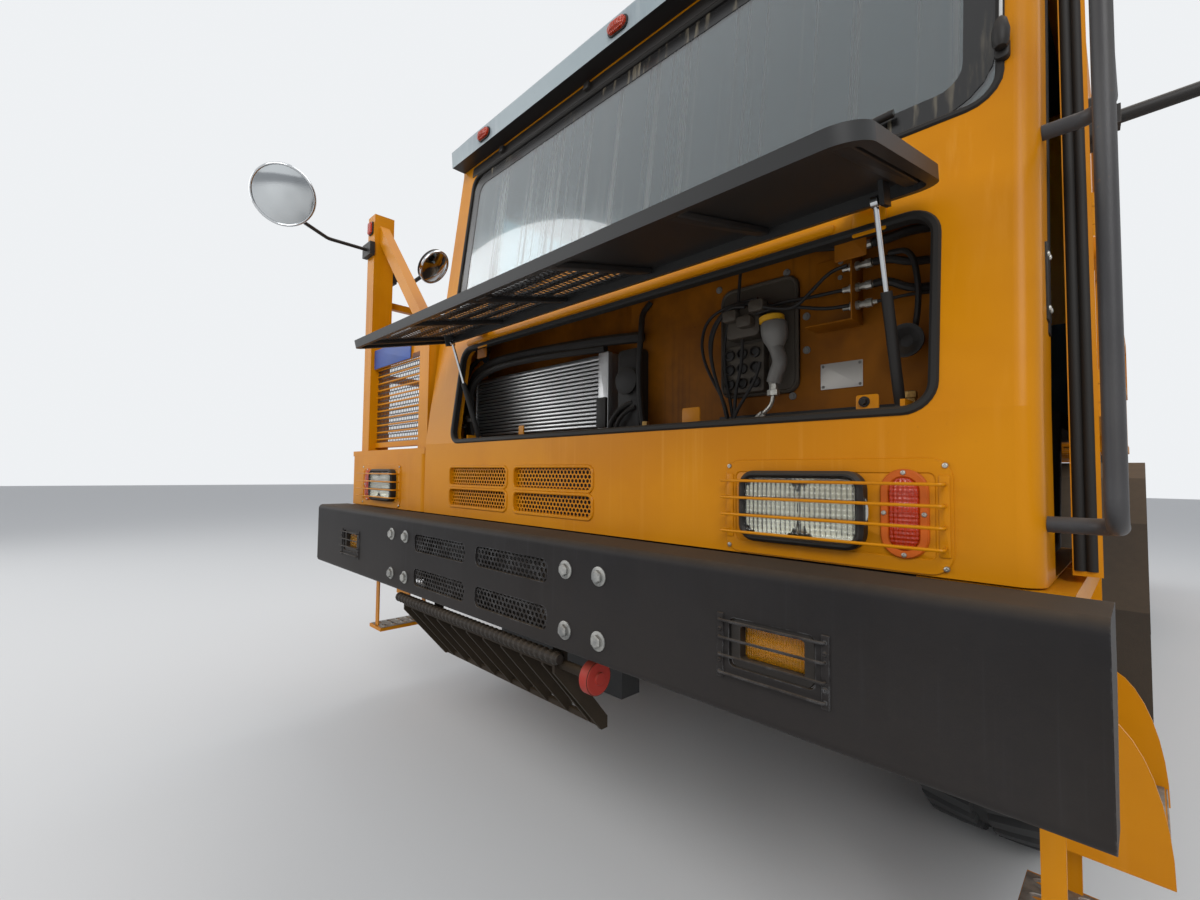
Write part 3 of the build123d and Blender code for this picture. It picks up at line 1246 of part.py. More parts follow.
def dump_front():
    """The body's front wall and the canopy that reaches forward over the cab."""
    base = BODY_FLOOR_Z + SEAT_GAP
    inner = BODY_SIDE_X - BODY_SIDE_THICK - SEAT_GAP
    skin = (BODY_FRONT, BODY_FRONT + BODY_SIDE_THICK)
    wall = block((-inner, inner), skin, (base, BODY_TOP_Z))
    for x in (-1500, -900, -300, 220, 820, 1420):
        wall += block((x, x + 80), (BODY_FRONT - 80, BODY_FRONT), (base, BODY_TOP_Z))
    top = BODY_TOP_Z + SEAT_GAP
    slope = [(BODY_FRONT - 80, top), (skin[1], top), (skin[1], top + 40), (CANOPY_FRONT, CANOPY_LOW + 14),
             (CANOPY_FRONT, CANOPY_LOW), (BODY_FRONT - 80, top + 26)]
    wall += prism_x(slope, (-BODY_RIB_X, BODY_RIB_X))
    wall += block((-inner, inner), skin, (BODY_TOP_Z - 20, top + 10))
    wall += block((-BODY_RIB_X, BODY_RIB_X), (CANOPY_FRONT, CANOPY_FRONT + 60), (CANOPY_LOW, CANOPY_TOP))
    for side in (-1, 1):
        skirt = [(CANOPY_FRONT, CANOPY_LOW), (CANOPY_FRONT, CANOPY_TOP), (BODY_FRONT + 500, BODY_TOP_Z + 30),
                 (BODY_FRONT + 500, top), (BODY_FRONT - 80, top)]
        wall += prism_x(skirt, sorted((side * (BODY_RIB_X - 12), side * BODY_RIB_X)))
    # ribs under the canopy
    for x in (-1400, -700, 0, 700, 1400):
        rib = [(BODY_FRONT - 80, top - 60), (BODY_FRONT - 80, top + 27), (CANOPY_FRONT + 30, CANOPY_LOW),
               (CANOPY_FRONT + 30, CANOPY_LOW - 60)]
        wall += prism_x(rib, (x - 30, x + 30))
    return wall


def hoist_part(index):
    """One telescopic section of both hoists, from the barrel at 0 to the rod at 3."""
    parts = []
    top = HOIST_HEAD_Z - 70
    bottom = HOIST_FOOT_Z + 95
    radius = HOIST_RADII[index]
    high = top - (3 - index) * HOIST_TOP_GAP
    for x in (-HOIST_X, HOIST_X):
        low = bottom + index * 12
        section = rod((x, HOIST_Y, low), (x, HOIST_Y, high), radius)
        if index < 3:
            bore = HOIST_RADII[index + 1] + PIN_FIT
            section -= rod((x, HOIST_Y, low + 10), (x, HOIST_Y, high + 5), bore)
        if index == 0:
            section += block((x - 50, x + 50), (HOIST_Y - 70, HOIST_Y + 70), (HOIST_FOOT_Z, bottom + 5))
            section += rod_x((x - 50, x + 50), HOIST_Y, HOIST_FOOT_Z, 78)
            section -= rod_x((x - 60, x + 60), HOIST_Y, HOIST_FOOT_Z, HOIST_PIN_RADIUS + PIN_FIT)
        if index == 3:
            section += block((x - 42, x + 42), (HOIST_Y - 40, HOIST_Y + 40), (high - 5, HOIST_HEAD_Z))
            section += rod_x((x - 42, x + 42), HOIST_Y, HOIST_HEAD_Z, 58)
            section -= rod_x((x - 50, x + 50), HOIST_Y, HOIST_HEAD_Z, HOIST_PIN_RADIUS)
        parts.append(section)
    return parts


def eye_after(pin, eye, angle):
    """Where an eye ends up when what carries it turns by an angle about a pin, front edge up."""
    y, z = eye[0] - pin[0], eye[1] - pin[1]
    a = radians(angle)
    return (pin[0] + y * cos(a) + z * sin(a), pin[1] - y * sin(a) + z * cos(a))


def linkage(foot, eye, pin, angle):
    """A cylinder's stretch and turn between the two ends of what it drives."""
    end = eye_after(pin, eye, angle)
    stretch = hypot(end[0] - foot[0], end[1] - foot[1]) - hypot(eye[0] - foot[0], eye[1] - foot[1])
    start_angle = atan2(eye[1] - foot[1], eye[0] - foot[0])
    end_angle = atan2(end[1] - foot[1], end[0] - foot[0])
    return stretch, degrees(end_angle - start_angle)


PARTS = {
    "frame_rails": frame_rails,
    "front_bumper": front_bumper,
    "radiator_guard": lambda: [radiator_guard(), tow_eye()],
    "axles": lambda: [front_beam(), *drive_axles()],
    "suspension": suspension,
    "engine_block": engine_block,
    "drive_line": drive_line,
    "radiator": radiator,
    "side_tanks": side_tanks,
    "cab_front": cab_front,
    "cab_left_side": cab_left_side,
    "cab_right_side": cab_right_side,
    "cab_rear": cab_rear,
    "cab_roof": cab_roof,
    "sun_visor": sun_visor,
    "cab_floor": cab_floor,
    "service_panel": service_panel,
    "bay_fittings": lambda: [service_fittings(), condenser()],
    "cab_glass": cab_glass,
    "driver_seat": driver_seat,
    "dashboard": dashboard,
    "platform_box": platform_box,
    "platform_frame": lambda: [platform_frame(), platform_plate()],
    "air_cleaner": air_cleaner,
    "steps": lambda: [step_box(1), step_box(-1)],
    "front_fenders": front_fenders,
    "handrail": handrail,
    "right_mirrors": right_mirrors,
    "wipers": wipers,
    "lamps": lambda: [*head_lamps(), *fog_lamps(), *marker_lamps()],
    "knuckle_left": lambda: knuckle(1),
    "knuckle_right": lambda: knuckle(-1),
    "tie_rod": tie_rod,
    "tyre_front_left": lambda: tyre(FRONT_WHEEL_X, AXLE_FRONT),
    "tyre_front_right": lambda: tyre(-FRONT_WHEEL_X, AXLE_FRONT),
    "rim_front_left": lambda: front_rim(1),
    "rim_front_right": lambda: front_rim(-1),
    "tyres_mid_left": lambda: twin_tyres(1, AXLE_MID),
    "tyres_mid_right": lambda: twin_tyres(-1, AXLE_MID),
    "rims_mid_left": lambda: twin_rims(1, AXLE_MID),
    "rims_mid_right": lambda: twin_rims(-1, AXLE_MID),
    "tyres_rear_left": lambda: twin_tyres(1, AXLE_REAR),
    "tyres_rear_right": lambda: twin_tyres(-1, AXLE_REAR),
    "rims_rear_left": lambda: twin_rims(1, AXLE_REAR),
    "rims_rear_right": lambda: twin_rims(-1, AXLE_REAR),
    "door_shell": door_shell,
    "door_glass": door_glass,
    "left_mirrors": left_mirrors,
    "hatch_panel": hatch_panel,
    "strut_barrels": strut_barrels,
    "strut_rods": strut_rods,
    "dump_floor": dump_floor,
    "dump_left_side": lambda: dump_side(1),
    "dump_right_side": lambda: dump_side(-1),
    "dump_front": dump_front,
    "hoist_barrels": lambda: hoist_part(0),
    "hoist_sleeves_1": lambda: hoist_part(1),
    "hoist_sleeves_2": lambda: hoist_part(2),
    "hoist_rods": lambda: hoist_part(3),
}


def solids_of(made):
    """Every solid in what a piece's function returns."""
    pieces = made if isinstance(made, list) else [made]
    return [solid for piece in pieces for solid in piece.solids()]


os.makedirs("parts", exist_ok=True)
for name, make in PARTS.items():
    export_step(Compound(children=solids_of(make())), f"parts/{name}.step")

stretch, turn = linkage(
    (HOIST_Y, HOIST_FOOT_Z), (HOIST_Y, HOIST_HEAD_Z), (BED_PIN_Y, BED_PIN_Z), BED_ANGLE
)
print("hoist stretch in mm and turn in degrees", round(stretch, 2), round(turn, 3))
stretch, turn = linkage(STRUT_FOOT, STRUT_HEAD, (HATCH_HINGE_Y, HATCH_HINGE_Z), -HATCH_CLOSE_ANGLE)
print("strut stretch in mm and turn in degrees", round(stretch, 2), round(turn, 3))
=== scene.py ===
"""The looks of a wide-body mining dump truck: paint, glass, lamps, bay fittings and tyres.

Lengths are in metres in the model's own frame: X runs to the truck's left, Y back from the
front face of the bumper and Z up from the ground. New pieces are surfaces worked out with
numpy, and every surface takes its colour, dust and wear from procedural nodes.
"""

import logging
from dataclasses import dataclass, field
from enum import Enum
from typing import Callable, Iterable, NamedTuple, Optional, Sequence, Union

import bmesh
import bpy
import numpy as np
from mathutils import Matrix, Vector


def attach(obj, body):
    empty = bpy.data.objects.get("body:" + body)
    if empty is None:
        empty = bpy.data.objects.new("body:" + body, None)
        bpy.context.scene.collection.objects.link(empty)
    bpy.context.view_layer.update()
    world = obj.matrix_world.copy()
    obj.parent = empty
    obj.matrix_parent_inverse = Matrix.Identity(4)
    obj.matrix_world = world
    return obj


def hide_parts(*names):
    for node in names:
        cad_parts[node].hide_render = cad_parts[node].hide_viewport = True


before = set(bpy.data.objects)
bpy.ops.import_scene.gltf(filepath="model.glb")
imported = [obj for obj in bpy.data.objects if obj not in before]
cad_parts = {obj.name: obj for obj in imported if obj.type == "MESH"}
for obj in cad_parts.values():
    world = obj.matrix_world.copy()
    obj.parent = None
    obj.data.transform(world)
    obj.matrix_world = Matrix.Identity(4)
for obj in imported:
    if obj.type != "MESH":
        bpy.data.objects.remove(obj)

log = logging.getLogger("truck")
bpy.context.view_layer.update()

Pair = tuple[float, float]
Triple = tuple[float, float, float]
Rgb = Triple
Points = Sequence[Sequence[float]]
Socket = bpy.types.NodeSocket
Inputs = bpy.types.NodeInputs
Feed = Union[float, Sequence[float], Socket]
# a ring smaller than this is a point, and points nearer than this are one
POINT, WELD = 1e-5, 1e-6
# the factor of X and the word for each side of the truck
SIDES = ((1, "left"), (-1, "right"))

# the cab's front: upright face, height where it starts to lean back, and its lean
FRONT, KNEE, LEAN = 0.174, 1.600, 0.1257
X_AXIS, Y_AXIS, Z_AXIS = np.eye(3)
LEAN_UP = np.array([0.0, LEAN, 1.0]) / np.hypot(LEAN, 1.0)
LEAN_OUT = np.array([0.0, -1.0, LEAN]) / np.hypot(LEAN, 1.0)


class Span(NamedTuple):
    """A rectangle across and up: its least and greatest X and Z."""

    x0: float
    x1: float
    z0: float
    z1: float

    @property
    def middle(self) -> Pair:
        """Its middle, across and up."""
        return (self.x0 + self.x1) / 2, (self.z0 + self.z1) / 2

    @property
    def size(self) -> Pair:
        """Its width and height."""
        return self.x1 - self.x0, self.z1 - self.z0


def front_y(z: float) -> float:
    """The cab's outer front face at a height: upright to the knee, then leaning back in proportion."""
    return FRONT + max(0.0, z - KNEE) * LEAN


def tone(red: int, green: int, blue: int) -> Rgb:
    """A screen colour from 0 to 255 as the linear colour that a shader takes."""
    part = np.array([red, green, blue]) / 255.0
    return tuple(float(v) for v in np.where(part <= 0.04045, part / 12.92, ((part + 0.055) / 1.055) ** 2.4))


# Shapes


@dataclass
class Form:
    """A mesh in the making: points, and arrays of faces that all have the same number of corners."""

    points: np.ndarray
    faces: list[np.ndarray]

    @staticmethod
    def joined(forms: Iterable["Form"]) -> "Form":
        """One form from several, their points put end to end.

        Args:
            forms: the forms to join.

        Returns:
            The form that holds them all.
        """
        points, faces, start = [], [], 0
        for form in forms:
            points.append(form.points)
            faces += [block + start for block in form.faces]
            start += len(form.points)
        return Form(np.concatenate(points), faces)

    def placed(self, origin: Sequence[float], right: np.ndarray, up: np.ndarray, out: np.ndarray) -> "Form":
        """The form carried from its own axes to an origin and three directions.

        Args:
            origin: where its own origin comes to lie.
            right, up, out: where its first, second and third axes point.

        Returns:
            The form in its place.
        """
        return Form(self.points @ np.array([right, up, out]) + np.asarray(origin, float), self.faces)

    def facing(self, x: float, y: float, z: float) -> "Form":
        """The form at a place, its face to the truck's front."""
        return self.placed((x, y, z), X_AXIS, Z_AXIS, -Y_AXIS)

    def outboard(self, x: float, y: float, z: float) -> "Form":
        """The form at a place, its face to the truck's left."""
        return self.placed((x, y, z), Y_AXIS, Z_AXIS, X_AXIS)

    def upward(self, x: float, y: float, z: float) -> "Form":
        """The form at a place, its face up."""
        return self.placed((x, y, z), X_AXIS, Y_AXIS, Z_AXIS)

    def repeated(self, shifts: Points) -> "Form":
        """A copy of the form at each shift, all as one form.

        Args:
            shifts: how far each copy is moved.

        Returns:
            The copies.
        """
        steps = np.asarray(shifts, float).reshape(-1, 3)
        starts = (np.arange(len(steps)) * len(self.points))[:, None, None]
        points = (self.points[None] + steps[:, None]).reshape(-1, 3)
        return Form(points, [(block[None] + starts).reshape(-1, block.shape[1]) for block in self.faces])

    def turned(self, axis: Sequence[float], degrees: float, about: Sequence[float] = (0, 0, 0)) -> "Form":
        """The form turned about a line: the turn's matrix times each point's reach from the line.

        Args:
            axis: the line's direction.
            degrees: the angle.
            about: a point on the line.

        Returns:
            The turned form.
        """
        turn = np.array(Matrix.Rotation(np.radians(degrees), 3, Vector(axis)))
        centre = np.asarray(about, float)
        return Form((self.points - centre) @ turn.T + centre, self.faces)

    def mirrored(self) -> "Form":
        """The form's mirror image on the truck's other side, its faces turned back outwards."""
        return Form(self.points * [-1, 1, 1], [block[:, ::-1] for block in self.faces])

    def sided(self, side: int) -> "Form":
        """The form on the left, or its mirror image on the right."""
        return self if side > 0 else self.mirrored()

    def on_front(self, x: float, z: float, proud: float = 0.0) -> "Form":
        """The form on the cab's front at a place across and up, lying along the face there.

        Args:
            x: the place across.
            z: the height.
            proud: how far out from the face it stands.

        Returns:
            The form on the face.
        """
        up, out = (LEAN_UP, LEAN_OUT) if z > KNEE else (Z_AXIS, -Y_AXIS)
        return self.placed(np.array([x, front_y(z), z]) + out * proud, X_AXIS, up, out)


def weave(rows: int, cols: int, wrap_rows: bool, wrap_cols: bool) -> np.ndarray:
    """Four-cornered faces between neighbours of a grid of points.

    Args:
        rows, cols: the grid's size.
        wrap_rows, wrap_cols: whether its last row or column meets its first.

    Returns:
        The corner numbers of each face.
    """
    row = np.arange(rows if wrap_rows else rows - 1)[:, None]
    col = np.arange(cols if wrap_cols else cols - 1)[None]
    after_row, after_col = (row + 1) % rows, (col + 1) % cols
    corners = [row * cols + col, row * cols + after_col, after_row * cols + after_col, after_row * cols + col]
    return np.stack(corners, -1).reshape(-1, 4)


def loft(rings: np.ndarray, closed: bool = False, caps: bool = True) -> Form:
    """A skin over closed rings of points, with a flat end on the first and last ring.

    Args:
        rings: points by ring, place round the ring and axis.
        closed: whether the last ring meets the first, so that there are no ends.
        caps: whether open ends are filled; a ring drawn in to a point needs no fill.

    Returns:
        The skin.
    """
    rows, cols = rings.shape[:2]
    faces = [weave(rows, cols, closed, True)]
    if caps and not closed:
        for ring, order in ((0, slice(None, None, -1)), (rows - 1, slice(None))):
            if np.ptp(rings[ring], axis=0).max() > POINT:
                faces.append((ring * cols + np.arange(cols))[order][None])
    return Form(rings.reshape(-1, 3), faces)


def rounded(width: float, height: float, radius: float, steps: int = 5) -> np.ndarray:
    """A rectangle's outline with round corners: each corner's centre plus its radius times cosine and sine.

    Args:
        width, height: its size.
        radius: of its corners.
        steps: of each corner.

    Returns:
        Its points, against the clock.
    """
    radius = max(min(radius, width / 2, height / 2), POINT)
    turn = np.linspace(0, np.pi / 2, steps + 1)[None] + np.arange(4)[:, None] * np.pi / 2
    centre = np.array([[1, 1], [-1, 1], [-1, -1], [1, -1]]) * [width / 2 - radius, height / 2 - radius]
    return (np.stack([np.cos(turn), np.sin(turn)], -1) * radius + centre[:, None]).reshape(-1, 2)


def at_height(outline: np.ndarray, height: float) -> np.ndarray:
    """An outline's points with a third coordinate."""
    return np.column_stack([outline, np.full(len(outline), height)])


def slab(
    width: float, height: float, depth: float, radius: float = 0.004, edge: float = 0.0015,
    crown: float = 0.0, steps: int = 4,
) -> Form:
    """A plate with round corners and an eased front edge: rings of its outline, drawn in over the edge.

    Args:
        width, height, depth: its size; its back lies at zero.
        radius: of its corners.
        edge: of its front edge.
        crown: how far its face swells: the crown times one less the square of the ring's scale.
        steps: of each corner.

    Returns:
        The plate.
    """
    levels = [(0.0, 0.0), (depth - edge, 0.0), (depth - edge * 0.3, edge * 0.3), (depth, edge)]
    rings = [at_height(rounded(width - 2 * i, height - 2 * i, radius - i, steps), w) for w, i in levels]
    if crown:
        for scale in (0.92, 0.78, 0.55, 0.28):
            rings.append(at_height(rings[3][:, :2] * scale, depth + crown * (1 - scale**2)))
    return loft(np.stack(rings))


def frame_of(
    width: float, height: float, band: float, depth: float, radius: float, edge: float = 0.0015, steps: int = 5,
) -> Form:
    """A flat ring round an opening: a small section carried round the opening's outline.

    Args:
        width, height: of the opening.
        band: the ring's width.
        depth: its thickness.
        radius: of the opening's corners.
        edge: of its front edges.
        steps: of each corner.

    Returns:
        The ring.
    """
    section = [(0, 0), (0, depth - edge), (edge, depth), (band - edge, depth), (band, depth - edge), (band, 0)]
    rings = [at_height(rounded(width + 2 * o, height + 2 * o, radius + o, steps), w) for o, w in section]
    return loft(np.stack(rings), closed=True)


def turned_form(profile: Points, sides: int = 24, closed: bool = False) -> Form:
    """A profile of radii and heights carried round the third axis: radius times cosine and sine.

    Args:
        profile: radius and height of each ring.
        sides: points round each ring.
        closed: whether the profile closes on itself.

    Returns:
        The turned form.
    """
    turn = (np.arange(sides) + 0.5) * 2 * np.pi / sides
    radius, height = np.asarray(profile, float).T
    round_x, round_y = radius[:, None] * np.cos(turn), radius[:, None] * np.sin(turn)
    return loft(np.stack([round_x, round_y, np.repeat(height[:, None], sides, 1)], -1), closed=closed)


def tube(path: Points, radius: Union[float, np.ndarray], sides: int = 10) -> Form:
    """A round bar along a path: each point plus the radius round two directions square to the way there.

    Args:
        path: the line's points.
        radius: one radius, or one for each point.
        sides: points round the bar.

    Returns:
        The bar.
    """
    line = np.asarray(path, float)
    way = np.gradient(line, axis=0)
    way /= np.linalg.norm(way, axis=1, keepdims=True)
    flat = np.linalg.svd(line - line.mean(0))[2][2]
    side = np.cross(way, flat)
    side /= np.linalg.norm(side, axis=1, keepdims=True)
    other = np.cross(way, side)
    turn = np.arange(sides) * 2 * np.pi / sides
    reach = np.broadcast_to(np.asarray(radius, float), (len(line),))[:, None, None]
    ring = side[:, None] * np.cos(turn)[None, :, None] + other[:, None] * np.sin(turn)[None, :, None]
    return loft(line[:, None] + ring * reach)


def bent(points: Points, bend: float, steps: int = 6) -> np.ndarray:
    """A line of straight runs whose corners are cut by a curve of the second degree.

    Args:
        points: the runs' ends.
        bend: how far before and after a corner its curve starts and ends.
        steps: of each curve.

    Returns:
        The line's points.
    """
    corner = np.asarray(points, float)
    before = corner[:-2] - corner[1:-1]
    after = corner[2:] - corner[1:-1]
    cut = [np.minimum(bend, np.linalg.norm(v, axis=1) * 0.49)[:, None] for v in (before, after)]
    start = corner[1:-1] + before / np.linalg.norm(before, axis=1, keepdims=True) * cut[0]
    end = corner[1:-1] + after / np.linalg.norm(after, axis=1, keepdims=True) * cut[1]
    t = np.linspace(0, 1, steps)[None, :, None]
    curve = start[:, None] * (1 - t) ** 2 + corner[1:-1, None] * 2 * t * (1 - t) + end[:, None] * t**2
    return np.concatenate([corner[:1], curve.reshape(-1, 3), corner[-1:]])


def eased(points: Points, rounds: int = 3) -> np.ndarray:
    """A soft line through a coarse one: in each round every run keeps its quarter and three-quarter points.

    Args:
        points: the coarse line.
        rounds: how often its corners are cut.

    Returns:
        The soft line's points.
    """
    line = np.asarray(points, float)
    for _ in range(rounds):
        quarter = line[:-1] * 0.75 + line[1:] * 0.25
        third = line[:-1] * 0.25 + line[1:] * 0.75
        line = np.concatenate([line[:1], np.stack([quarter, third], 1).reshape(-1, 3), line[-1:]])
    return line


def bar(start: Sequence[float], end: Sequence[float], width: float, depth: float, edge: float = 0.002) -> Form:
    """A flat bar between two points, its width kept level where it can be.

    Args:
        start, end: the middles of its ends.
        width, depth: its section.
        edge: of its long corners.

    Returns:
        The bar.
    """
    a, b = np.asarray(start, float), np.asarray(end, float)
    way = (b - a) / np.linalg.norm(b - a)
    level = np.cross(way, Z_AXIS) if abs(way[2]) < 0.95 else X_AXIS
    level = level / np.linalg.norm(level)
    outline = rounded(width, depth, edge, 2)
    rings = np.stack([at_height(outline, 0.0), at_height(outline, np.linalg.norm(b - a))])
    return loft(rings).placed(a, level, np.cross(way, level), way)


def honeycomb(width: float, height: float, pitch: float, web: float, depth: float, stretch: float = 1.0) -> Form:
    """Sheet pierced with six-sided holes: rows of rings whose outer corners meet their neighbours'.

    Args:
        width, height: of the sheet.
        pitch: from hole to hole along a row.
        web: width of metal between two holes.
        depth: its thickness.
        stretch: how much longer the holes are across than up.

    Returns:
        The sheet.
    """
    rise = pitch * np.sqrt(3) / 2 / stretch
    cols, rows = int(width / pitch) + 1, int(height / rise) + 1
    row, col = np.mgrid[0:rows, 0:cols]
    across = (col - (cols - 1) / 2 + 0.5 * (row % 2) - 0.25) * pitch
    up = (row - (rows - 1) / 2) * rise
    turn = (np.arange(6) + 0.5) * np.pi / 3
    corner = np.stack([np.cos(turn), np.sin(turn) / stretch], 1) * pitch / np.sqrt(3)
    inner = corner * (1 - web / pitch)
    rings = np.stack([at_height(corner, depth), at_height(inner, depth), at_height(inner, 0), at_height(corner, 0)])
    shifts = np.stack([across, up, np.zeros_like(up)], -1).reshape(-1, 3)
    return loft(rings, caps=False).repeated(shifts)


def hex_bolt(across: float, height: float) -> Form:
    """A bolt head with eased corners over its round washer."""
    head = turned_form([(across * 0.577, 0), (across * 0.577, height * 0.8), (across * 0.48, height)], 6)
    washer = turned_form([(across * 0.85, 0), (across * 0.85, 0.003), (across * 0.8, 0.004)], 24)
    return Form.joined([washer, head])


def screw_head(radius: float) -> Form:
    """A pan-headed screw: rings that draw in over a low dome with a dimple in its middle."""
    profile = [(1, 0), (1, 0.25), (0.8, 0.55), (0.45, 0.66), (0.35, 0.4), (0, 0.35)]
    return turned_form(np.array(profile) * radius, 12)


# Finishes


# depth of every finish's relief
RELIEF = 0.002


class Graph:
    """Adds nodes to one tree and joins them."""

    def __init__(self, tree: bpy.types.NodeTree) -> None:
        """Takes the tree."""
        self.tree = tree

    def feed(self, node: bpy.types.Node, feeds: dict) -> None:
        """Joins each input of a node to a socket, or sets it to a plain value.

        Args:
            node: the node.
            feeds: what goes into its inputs, by name or number.
        """
        for key, value in feeds.items():
            if isinstance(value, Socket):
                self.tree.links.new(value, node.inputs[key])
            else:
                node.inputs[key].default_value = value

    def add(self, kind: str, feeds: Optional[dict] = None, **options: object) -> bpy.types.Node:
        """Adds a node.

        Args:
            kind: its type, after ShaderNode.
            feeds: what goes into its inputs, by name or number.
            options: its own options.

        Returns:
            The node.
        """
        node = self.tree.nodes.new("ShaderNode" + kind)
        for name, value in options.items():
            setattr(node, name, value)
        self.feed(node, feeds or {})
        return node

    def math(self, operation: str, a: Feed, b: Feed = 0.0, clamp: bool = False) -> Socket:
        """One operation on two values."""
        return self.add("Math", {0: a, 1: b}, operation=operation, use_clamp=clamp).outputs[0]

    def mix(self, share: Feed, a: Feed, b: Feed) -> Socket:
        """A blend from colour a to colour b."""
        return self.add("Mix", {0: share, 6: a, 7: b}, data_type="RGBA").outputs[2]

    def band(self, value: Feed, low: float, high: float) -> Socket:
        """Zero below low, one above high and a soft rise between."""
        feeds = {"Value": value, "From Min": low, "From Max": high}
        return self.add("MapRange", feeds, interpolation_type="SMOOTHSTEP").outputs[0]

    def noise(self, vector: Feed, scale: Feed, detail: float = 3.0, rough: float = 0.55) -> Socket:
        """Cloudy noise from 0 to 1."""
        feeds = {"Vector": vector, "Scale": scale, "Detail": detail, "Roughness": rough}
        return self.add("TexNoise", feeds).outputs[0]

    def wave(self, feeds: dict, way: str) -> Socket:
        """Even waves across one axis, from 0 to 1."""
        return self.add("TexWave", feeds, bands_direction=way).outputs[1]

    def stretched(self, vector: Feed, scale: Sequence[float]) -> Socket:
        """A place whose three coordinates are scaled on their own."""
        return self.add("Mapping", {"Vector": vector, "Scale": scale}).outputs[0]

    def ramp(self, share: Feed, low: float, high: float) -> Socket:
        """A value that runs from low to high as the share goes from 0 to 1."""
        return self.add("MapRange", {"Value": share, "To Min": low, "To Max": high}).outputs[0]

    def product(self, *values: Feed) -> Socket:
        """Values multiplied in turn, the last product kept between 0 and 1."""
        result = values[0]
        for number, value in enumerate(values[1:], 2):
            result = self.math("MULTIPLY", result, value, clamp=number == len(values))
        return result

    def rise(self) -> Socket:
        """How far the face's own direction points up, from -1 to 1."""
        return self.add("SeparateXYZ", {0: self.add("TexCoord").outputs["Normal"]}).outputs[2]

    def bump(self, height: Socket, strength: float) -> Socket:
        """The face's direction, bent by a relief."""
        return self.add("Bump", {"Height": height, "Strength": strength, "Distance": RELIEF}).outputs[0]

    def effect(self, kind: str, feeds: dict) -> Socket:
        """A shared effect's mask or height.

        Args:
            kind: its key among the effects.
            feeds: what goes into it.

        Returns:
            Its output.
        """
        node = self.add("Group", node_tree=EFFECTS[kind])
        self.feed(node, feeds)
        return node.outputs[0]


def shared(
    name: str, inputs: dict[str, float], output: str, wire: Callable[[Graph, Inputs], Socket],
) -> bpy.types.NodeTree:
    """An effect that several finishes use, built once.

    Args:
        name: of the effect.
        inputs: its values by name; a place called Vector comes first.
        output: name of what it gives.
        wire: builds its nodes and returns the socket that it gives.

    Returns:
        The effect's tree.
    """
    tree = bpy.data.node_groups.new(name, "ShaderNodeTree")
    tree.interface.new_socket(name="Vector", in_out="INPUT", socket_type="NodeSocketVector")
    for label, start in inputs.items():
        tree.interface.new_socket(name=label, in_out="INPUT", socket_type="NodeSocketFloat").default_value = start
    tree.interface.new_socket(name=output, in_out="OUTPUT", socket_type="NodeSocketFloat")
    source, sink = tree.nodes.new("NodeGroupInput"), tree.nodes.new("NodeGroupOutput")
    tree.links.new(wire(Graph(tree), source.outputs), sink.inputs[output])
    return tree


def drift_wire(graph: Graph, given: Inputs) -> Socket:
    """Wide soft patches of a second tone: cloudy noise through a soft band."""
    return graph.band(graph.noise(given["Vector"], given["Size"], 4.0, 0.6), 0.36, 0.66)


def dust_wire(graph: Graph, given: Inputs) -> Socket:
    """Dust that lies on what faces up and thickens towards the ground, broken by two sizes of noise."""
    level = graph.math("POWER", graph.math("MAXIMUM", graph.rise(), 0.0), 2.0)
    height = graph.add("SeparateXYZ", {0: given["Vector"]}).outputs[2]
    low = graph.band(height, 1.5, 0.2)
    lying = graph.math("MULTIPLY_ADD", level, 0.85)
    lying.node.inputs[2].default_value = 0.1
    both = graph.math("ADD", lying, graph.math("MULTIPLY", low, 0.35))
    cloud = graph.math("ADD", graph.noise(given["Vector"], 2.4, 5.0, 0.65), 0.35)
    fine = graph.math("MULTIPLY", graph.noise(given["Vector"], 60.0, 2.0), 0.35)
    return graph.product(both, graph.math("ADD", cloud, fine), given["Amount"])


def runs_wire(graph: Graph, given: Inputs) -> Socket:
    """Marks of rain down upright faces: noise drawn out along Z, kept where the face is steep."""
    drawn = graph.stretched(given["Vector"], (38.0, 38.0, 0.9))
    thin = graph.band(graph.noise(drawn, 1.0, 3.0, 0.6), 0.52, 0.72)
    patch = graph.band(graph.noise(given["Vector"], 1.7, 2.0), 0.38, 0.62)
    steep = graph.math("SUBTRACT", 1.0, graph.math("ABSOLUTE", graph.rise()), clamp=True)
    return graph.product(thin, patch, steep, given["Amount"])


def chips_wire(graph: Graph, given: Inputs) -> Socket:
    """Small bare spots: rough noise cut high, thinned by a wider noise."""
    spots = graph.band(graph.noise(given["Vector"], 55.0, 6.0, 0.75), 0.66, 0.7)
    patch = graph.band(graph.noise(given["Vector"], 3.0, 3.0), 0.5, 0.7)
    return graph.product(spots, patch, given["Amount"])


def edges_wire(graph: Graph, given: Inputs) -> Socket:
    """Rubbed edges: where a rounded normal turns away from the face's own, broken by noise."""
    soft = graph.add("Bevel", {"Radius": given["Reach"]}, samples=3).outputs[0]
    own = graph.add("NewGeometry").outputs["Normal"]
    along = graph.add("VectorMath", {0: soft, 1: own}, operation="DOT_PRODUCT").outputs["Value"]
    bend = graph.band(graph.math("SUBTRACT", 1.0, along), 0.02, 0.2)
    broken = graph.band(graph.noise(given["Vector"], 18.0, 5.0, 0.7), 0.42, 0.6)
    return graph.product(bend, broken, given["Amount"])


def grain_wire(graph: Graph, given: Inputs) -> Socket:
    """A fine uneven surface: noise at the grain's own size with a softer, wider swell under it."""
    fine = graph.noise(given["Vector"], given["Size"], 3.0)
    swell = graph.noise(given["Vector"], 9.0, 2.0)
    return graph.math("ADD", fine, graph.math("MULTIPLY", swell, 1.5))


